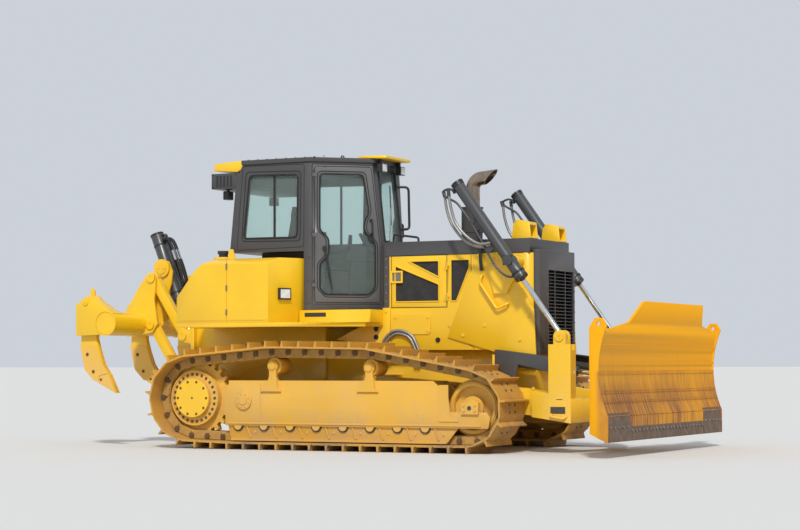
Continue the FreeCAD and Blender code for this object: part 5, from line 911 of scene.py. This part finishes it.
def dress_lift_cylinder(side, name):
    """Glands, caps, pipes, ports and hoses of one lift cylinder, and its hoses' stay."""
    barrel = "lift_barrel_" + name
    pin = at(3.584, side * 0.765, 1.96)
    down = Vector((0.589, 0, -0.808))
    away = Vector((0.808, 0, 0.589))
    bands = Shape()
    for reach, width, grow in ((-1.017, 0.02, 0.006), (-0.985, 0.012, 0.004), (0.145, 0.016, 0.012),
                               (0.205, 0.022, 0.011)):
        bands.ring(pin + down * reach, down, LIFT_BARREL_RADIUS + grow, 0.05, width, 36)
    for a in circle(8):
        spoke = away * math.cos(a) + Vector((0, 1, 0)) * math.sin(a)
        bands.bolt(pin + down * 0.23 + spoke * 0.052, down, 0.007)
    bands.block((3.532, side * 0.82, 1.908), (3.636, side * 0.833, 2.012))
    piece("lift_cylinder_bands_" + name, bands, "black", 0.002, barrel)

    line = Shape().tube(rounded(flat(side * 0.765, LIFT_PIPE), 0.04), 0.012, 12)
    line.tube(rounded(flat(side * 0.8, LIFT_BEND), 0.02), 0.012, 12)
    for across, start, end, radius, sides in ((0.765, (2.968, 2.699), (2.945, 2.684), 0.024, 20),
                                              (0.8, (2.905, 2.7), (2.912, 2.64), 0.019, 16),
                                              (0.74, (2.819, 2.7), (2.836, 2.64), 0.019, 16)):
        line.rod(*flat(side * across, (start, end)), radius, sides)
    for ahead, height in ((3.15, 2.36), (3.33, 2.06)):
        line.strip(side * 0.765, (ahead, height), (ahead + 0.1, height + 0.073), 0.05, 0.024)
    piece("lift_pipes_" + name, line, "barrel", 0.001, barrel)
    for index, (across, route) in enumerate(LIFT_HOSES):
        hose = Shape().tube(smooth_path(flat(side * across, route)), 0.015, 14)
        piece("lift_hose_%s_%d" % (name, index), hose, "braid", body=barrel)
    stay = Shape().bar(at(3.173, side * 0.57, 1.87), at(3.151, side * 0.59, 2.3), 0.034, 0.012, (0, 1, 0))
    stay.disc((3.173, 1.89), side * 0.553, side * 0.585, 0.016, 16)
    piece("hose_stay_" + name, stay, "black", 0.002)


def dress_cylinders():
    """The lift cylinders, and the bands of the angle cylinders."""
    for side, name in NAMED_SIDES:
        dress_lift_cylinder(side, name)
    for side, name in NAMED_SIDES:
        start = at(3.42, side * 0.62, 0.93)
        way = (at(4.62, side * 0.62, 0.78) - start).normalized()
        bands = Shape()
        for reach in (0.1, 0.6):
            bands.ring(start + way * reach, way, 0.058, 0.04, 0.018, 32)
        piece("angle_cylinder_bands_" + name, bands, "black", 0.002, "angle_barrel_" + name)


# The blade's hollow front in side view: straight to FOOT, then an arc with this radius to the top
BLADE_FOOT, BLADE_TOP, BLADE_RADIUS = (5.003, 0.4), (5.035, 1.305), 1.0738


def blade_front(height):
    """How far ahead the blade's hollow front lies at a height above its straight foot."""
    chord = BLADE_TOP[1] - BLADE_FOOT[1]
    middle = (BLADE_TOP[1] + BLADE_FOOT[1]) / 2
    centre = (BLADE_FOOT[0] + BLADE_TOP[0]) / 2 + math.sqrt(BLADE_RADIUS ** 2 - (chord / 2) ** 2)
    return centre - math.sqrt(BLADE_RADIUS ** 2 - (height - middle) ** 2)


def dress_blade():
    """Cutting edge, end bits, their bolts and the weld seams of the blade."""
    edge, bolts, seams = Shape(), Shape(), Shape()
    for start, end in ((-1.1, -0.37), (-0.36, 0.36), (0.37, 1.1)):
        edge.plate(start, ((5.006, 0.153), (5.013, 0.162), (4.996, 0.385), (4.985, 0.385)), end - start)
    for side in SIDES:
        edge.plate(side * 1.11, ((5.006, 0.153), (5.017, 0.162), (5.001, 0.43), (4.985, 0.43)), side * 0.58)
    piece("cutting_edge", edge, "edge", 0.002, "blade")
    lean = (1, 0, 0.06)
    for across in spaced(-1.05, 0.1, 22):
        bolts.bolt(at(5.008, across, 0.25), lean, 0.014)
    for side in SIDES:
        for across in (1.18, 1.3, 1.42, 1.54, 1.64):
            bolts.bolt(at(5.008, side * across, 0.29), lean, 0.015)
    piece("blade_bolts", bolts, "steel", body="blade")
    for height in (0.543, 0.638, 0.831, 0.923, 1.087):
        ahead = blade_front(height) + 0.0005
        seams.tube([at(ahead, across, height) for across in (-1.69, -0.6, 0.6, 1.69)], 0.0035, 8)
    seams.tube([at(5.002, -1.69, 0.402), at(5.002, 1.69, 0.402)], 0.0045, 8)
    piece("blade_welds", seams, "blade", body="blade")


def dress_blade_frame():
    """Pin caps, arm bolts, tow loops and slots of the blade's frame."""
    pins, plates, slots = Shape(), Shape(), Shape()
    tow_loop = ((4.065, 0.84, 0.395), (4.065, 0.87, 0.375), (4.205, 0.87, 0.35), (4.23, 0.84, 0.375))
    for side in SIDES:
        out = (0, side, 0)
        pins.disc((4.155, 1.177), side * 0.842, side * 0.852, 0.05, 32)
        pins.bolts(side * 0.852, ((4.155, 1.19),), 0.011, out)
        pins.bolts(side * 0.852, ((4.165, 1.16),), 0.007, out)
        plates.bolts(side * 0.68, [(ahead, 0.65) for ahead in (2.2, 2.6, 3.0, 3.4, 3.8)], 0.014, out)
        loop = [at(ahead, side * across, height) for ahead, across, height in tow_loop]
        plates.tube(rounded(loop, 0.02), 0.012, 12)
        slots.block((4.055, side * 0.8395, 0.4), (4.215, side * 0.8415, 0.47))
        slots.block((4.12, side * 0.8395, 0.54), (4.185, side * 0.841, 0.548))
    piece("frame_pins", pins, "yellow", 0.002, "blade_frame")
    piece("frame_tow_slots", slots, "black", body="blade_frame")
    piece("frame_arm_plates", plates, "yellow", 0.003, "blade_frame")


def capped_pin(shape, side, ahead, height, shifts):
    """The flat cap of a link pin, with bolts above and below its middle."""
    shape.disc((ahead, height), side * 0.484, side * 0.497, 0.052, 28)
    shape.bolts(side * 0.497, [(ahead, height + shift) for shift in shifts], 0.009, (0, side, 0))


SHANKS = (-0.99, 0.0, 0.99)
SHANK_GUARD = ((-1.576, 1.12), (-1.352, 1.12), (-1.271, 0.905), (-1.198, 0.805), (-1.31, 0.78),
               (-1.33, 0.712), (-1.388, 0.722), (-1.51, 0.842))
SHANK_TIP = ((-1.192, 0.797), (-1.08, 0.58), (-1.33, 0.7), (-1.305, 0.772))
SHANK_EYE = ((-1.4, 1.665), (-1.4, 1.735), (-1.425, 1.755), (-1.455, 1.74), (-1.465, 1.655))


def dress_ripper():
    """Pin caps, shank pins, guards and tips of the ripper."""
    pins, caps = Shape(), Shape()
    for ahead, height in ((-0.575, 0.69), (-0.568, 1.22)):
        for side in SIDES:
            capped_pin(pins, side, ahead, height, (0.028, -0.028))
    piece("tower_pin_caps", pins, "yellow", 0.002)
    beam_end, mast = (-1.19, 1.36), (-1.076, 2.01)
    for side in SIDES:
        out = (0, side, 0)
        caps.ring(*flat(side * 1.085, (beam_end,)), out, 0.139, 0.128, 0.008, 40)
        caps.disc(beam_end, side * 1.08, side * 1.088, 0.124, 40)
        caps.disc(mast, side * 0.12, side * 0.149, 0.104, 40)
        caps.disc(mast, side * 0.149, side * 0.157, 0.066, 36)
        caps.bolts(side * 0.157, [(mast[0] + shift, mast[1]) for shift in (-0.034, 0.034)], 0.01, out)
        for ahead, height in ((-1.0, 1.352), (-0.993, 1.882)):
            capped_pin(caps, side, ahead, height, (0.026,))
    piece("ripper_beam_caps", caps, "yellow", 0.002, "ripper_beam")
    shanks, guards, bolts = Shape(), Shape(), Shape()
    for middle in SHANKS:
        for side in SIDES:
            face, cap, out = middle + side * 0.0322, middle + side * 0.106, (0, side, 0)
            shanks.disc((-1.462, 1.6), middle + side * 0.092, cap, 0.036, 24)
            shanks.bolts(cap, ((-1.462, 1.6),), 0.01, out)
            guards.plate(face, SHANK_GUARD, side * 0.007).plate(face, SHANK_TIP, side * 0.011)
            bolts.bolts(face + side * 0.007, ((-1.474, 1.017), (-1.392, 0.824), (-1.285, 0.735)), 0.015, out)
        shanks.plate(middle - 0.012, SHANK_EYE, 0.024)
    piece("shank_bolts", bolts, "pins", body="ripper_beam")
    piece("shank_pins", shanks, "yellow", 0.002, "ripper_beam")
    piece("shank_guards", guards, "worn", 0.002, "ripper_beam")


def dress_ripper_cylinder():
    """Bands, pipes and hoses of the ripper's cylinder, and the bolts of the ripper's mount."""
    start = at(-1.076, 0, 2.01)
    way = (at(-0.658, 0, 0.965) - start).normalized()
    back = Vector((-way.z, 0, way.x))

    def beside(reach, out, across=0.0):
        return start + way * reach + back * out + Vector((0, across, 0))

    pipes = Shape()
    for reach, grow in ((-0.437, 0.004), (-0.3, 0.004), (0.3, 0.004), (0.395, 0.011)):
        pipes.ring(beside(reach, 0.0), way, 0.075 + grow, 0.06, 0.018, 36)
    for shift in (-0.02, 0.02):
        route = ((-0.39, 0.07), (-0.39, 0.11), (0.34, 0.11), (0.34, 0.07))
        pipes.tube(rounded([beside(reach, out, shift) for reach, out in route], 0.03), 0.011, 12)
    piece("ripper_cylinder_pipes", pipes, "black", 0.001, "ripper_barrel")
    sleeves = Shape()
    for index, (shift, out, end_out) in enumerate(((-0.045, 0.15, 0.166), (0.0, 0.165, 0.182),
                                                   (0.045, 0.15, 0.166))):
        route = (beside(-0.33, 0.07, shift * 0.6), beside(-0.3, out, shift),
                 beside(-0.12, out + 0.02, shift), beside(0.2, out + 0.01, shift),
                 beside(0.36, 0.08, shift * 0.6))
        hose = Shape().tube(smooth_path(route), 0.017, 14)
        piece("ripper_hose_%d" % index, hose, "rubber", body="ripper_barrel")
        sleeves.rod(beside(-0.16, end_out, shift), beside(-0.04, end_out, shift), 0.022, 20)
    piece("ripper_hose_ends", sleeves, "chrome", 0.001, "ripper_barrel")
    mount = Shape()
    for side in SIDES:
        mount.bolts(side * 0.29, [(-0.44, height) for height in (0.6, 0.78, 0.96, 1.14, 1.32)], 0.018,
                    (-1, 0, 0))
    piece("ripper_mount_bolts", mount, "steel")


def cushion(low, high, crown):
    """A soft box: rounded on all sides, crowned on top and dished by its seams."""
    shape = Shape()
    steps = 18
    ticks = [index / steps * 2 - 1 for index in range(steps + 1)]
    for layer in (0, 1):
        for u in ticks:
            for v in ticks:
                fall = (1 - abs(u) ** 5) * (1 - abs(v) ** 5)
                rise = crown * (fall ** 0.5) - 0.01 * math.exp(-((abs(u) - 0.62) * 16) ** 2)
                x = low[0] + (high[0] - low[0]) * (u + 1) / 2
                y = low[1] + (high[1] - low[1]) * (v + 1) / 2
                shape.points.append((x, y, high[2] + rise if layer else low[2]))
    row = steps + 1
    size = row * row
    for i in range(steps):
        for a in range(i * row, i * row + steps):
            b = a + size
            shape.faces += [(a, a + 1, a + row + 1, a + row), (b, b + row, b + row + 1, b + 1)]
    for i in range(steps):
        a, b = i * row, i * row + row - 1
        shape.faces += [(a, a + row, a + row + size, a + size), (b, b + size, b + row + size, b + row)]
    for j in range(steps):
        b = steps * row + j
        shape.faces += [(j, j + size, j + 1 + size, j + 1), (b, b + 1, b + 1 + size, b + size)]
    return shape


def dress_seat():
    """Padded cushions in place of the plain seat."""
    lean = Matrix.Rotation(math.radians(-80), 3, "Y")
    made = []
    for name, low, high, crown, stand in (
            ("seat_pad", (0.72, -0.235, 1.935), (1.195, 0.235, 2.03), 0.038, None),
            ("seat_back", (-0.3, -0.225, -0.045), (0.3, 0.225, 0.035), 0.045, (0.705, 2.33)),
            ("seat_head", (-0.075, -0.13, -0.035), (0.075, 0.13, 0.025), 0.022, (0.668, 2.585))):
        shape = cushion(low, high, crown)
        if stand:
            for index, (x, y, z) in enumerate(shape.points):
                tipped = lean @ Vector((-x, y, z))
                shape.points[index] = tuple(at(stand[0] + tipped.x, y, stand[1] + tipped.z))
            shape.faces = backwards(shape.faces)
        else:
            shape.points = [tuple(at(*point)) for point in shape.points]
        thing = piece(name, shape, "cloth")
        soften = thing.modifiers.new("soft", "SUBSURF")
        soften.levels = 2
        soften.render_levels = 2
        made.append(thing)
    return made


def dress_inside():
    """Console, screen, arm boxes, pedals and levers."""
    console, levers = Shape(), Shape()
    console.block((1.4, -0.16, 1.52), (1.6, 0.16, 2.02))
    console.plate(-0.2, ((1.36, 2.02), (1.62, 2.02), (1.64, 2.16), (1.44, 2.22)), 0.4)
    for side in SIDES:
        arm, pedal = side * 0.3, side * 0.1
        console.block((0.78, arm - 0.05, 1.9), (1.16, arm + 0.05, 2.14))
        console.block((0.74, arm - 0.045, 2.14), (1.1, arm + 0.045, 2.18))
        console.block((1.34, pedal - 0.04, 1.55), (1.4, pedal + 0.04, 1.66))
        levers.rod(at(1.12, arm, 2.16), at(1.15, arm, 2.27), 0.013, 16)
        levers.rod(at(1.15, arm, 2.25), at(1.16, arm, 2.35), 0.026, 20, 0.02)
    piece("console", console, "trim", 0.012)
    levers.rod(at(1.52, 0.0, 2.19), at(1.44, 0.0, 2.34), 0.018, 16)
    levers.block((1.56, -0.12, 2.19), (1.58, 0.12, 2.36))
    piece("levers", levers, "rubber", 0.004, slot=None)


for dress in (dress_chain, dress_wheels, dress_track_frames, dress_doors, dress_cab, dress_tanks,
              dress_windows, dress_hood, dress_cylinders, dress_blade, dress_blade_frame, dress_ripper,
              dress_ripper_cylinder):
    dress()
cushions = dress_seat()
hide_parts("seat")
dress_inside()


def stand_up(name, data):
    """A new object of the stage."""
    thing = bpy.data.objects.new(name, data)
    bpy.context.scene.collection.objects.link(thing)
    return thing


def light_and_camera():
    """A pale floor, soft light and the camera of the photograph."""
    reach = 400.0
    floor_mesh = bpy.data.meshes.new("floor")
    floor_mesh.from_pydata([(-reach, -reach, 0), (reach, -reach, 0), (reach, reach, 0), (-reach, reach, 0)],
                           [], [(0, 1, 2, 3)])
    n = Nodes("floor_paint")
    n.fix(Base_Color=(0.62, 0.62, 0.61, 1), Roughness=0.9)
    floor_mesh.materials.append(n.material)
    stand_up("floor", floor_mesh)
    world = bpy.data.worlds.new("sky")
    bpy.context.scene.world = world
    world.use_nodes = True
    sky = world.node_tree.nodes["Background"].inputs
    sky["Color"].default_value = (0.8, 0.85, 0.92, 1)
    sky["Strength"].default_value = 0.75
    sun = stand_up("sun", bpy.data.lights.new("sun", "SUN"))
    sun.data.energy = 2.6
    sun.data.angle = math.radians(6)
    sun.data.color = (1.0, 0.96, 0.9)
    sun.rotation_euler = Vector((0.34, -0.72, 0.8)).to_track_quat("Z", "Y").to_euler()

    # The camera, fitted to the photograph: its place, turn, tilt up and roll
    camera = stand_up("camera", bpy.data.cameras.new("camera"))
    turn, tilt, roll = math.radians(26.94), math.radians(2.73), math.radians(0.11)
    ahead = Vector((-math.sin(turn) * math.cos(tilt), math.cos(turn) * math.cos(tilt), math.sin(tilt)))
    camera.location = at(12.106, -20.015, 0.912)
    camera.rotation_mode = "QUATERNION"
    level = Matrix.Rotation(-roll, 3, "Z").to_quaternion()
    camera.rotation_quaternion = ahead.to_track_quat("-Z", "Y") @ level
    camera.data.sensor_width = 36.0
    camera.data.lens = 92.6
    camera.data.clip_end = 1000.0
    bpy.context.scene.camera = camera
    bpy.context.scene.view_settings.view_transform = "Standard"


light_and_camera()

bpy.context.view_layer.update()
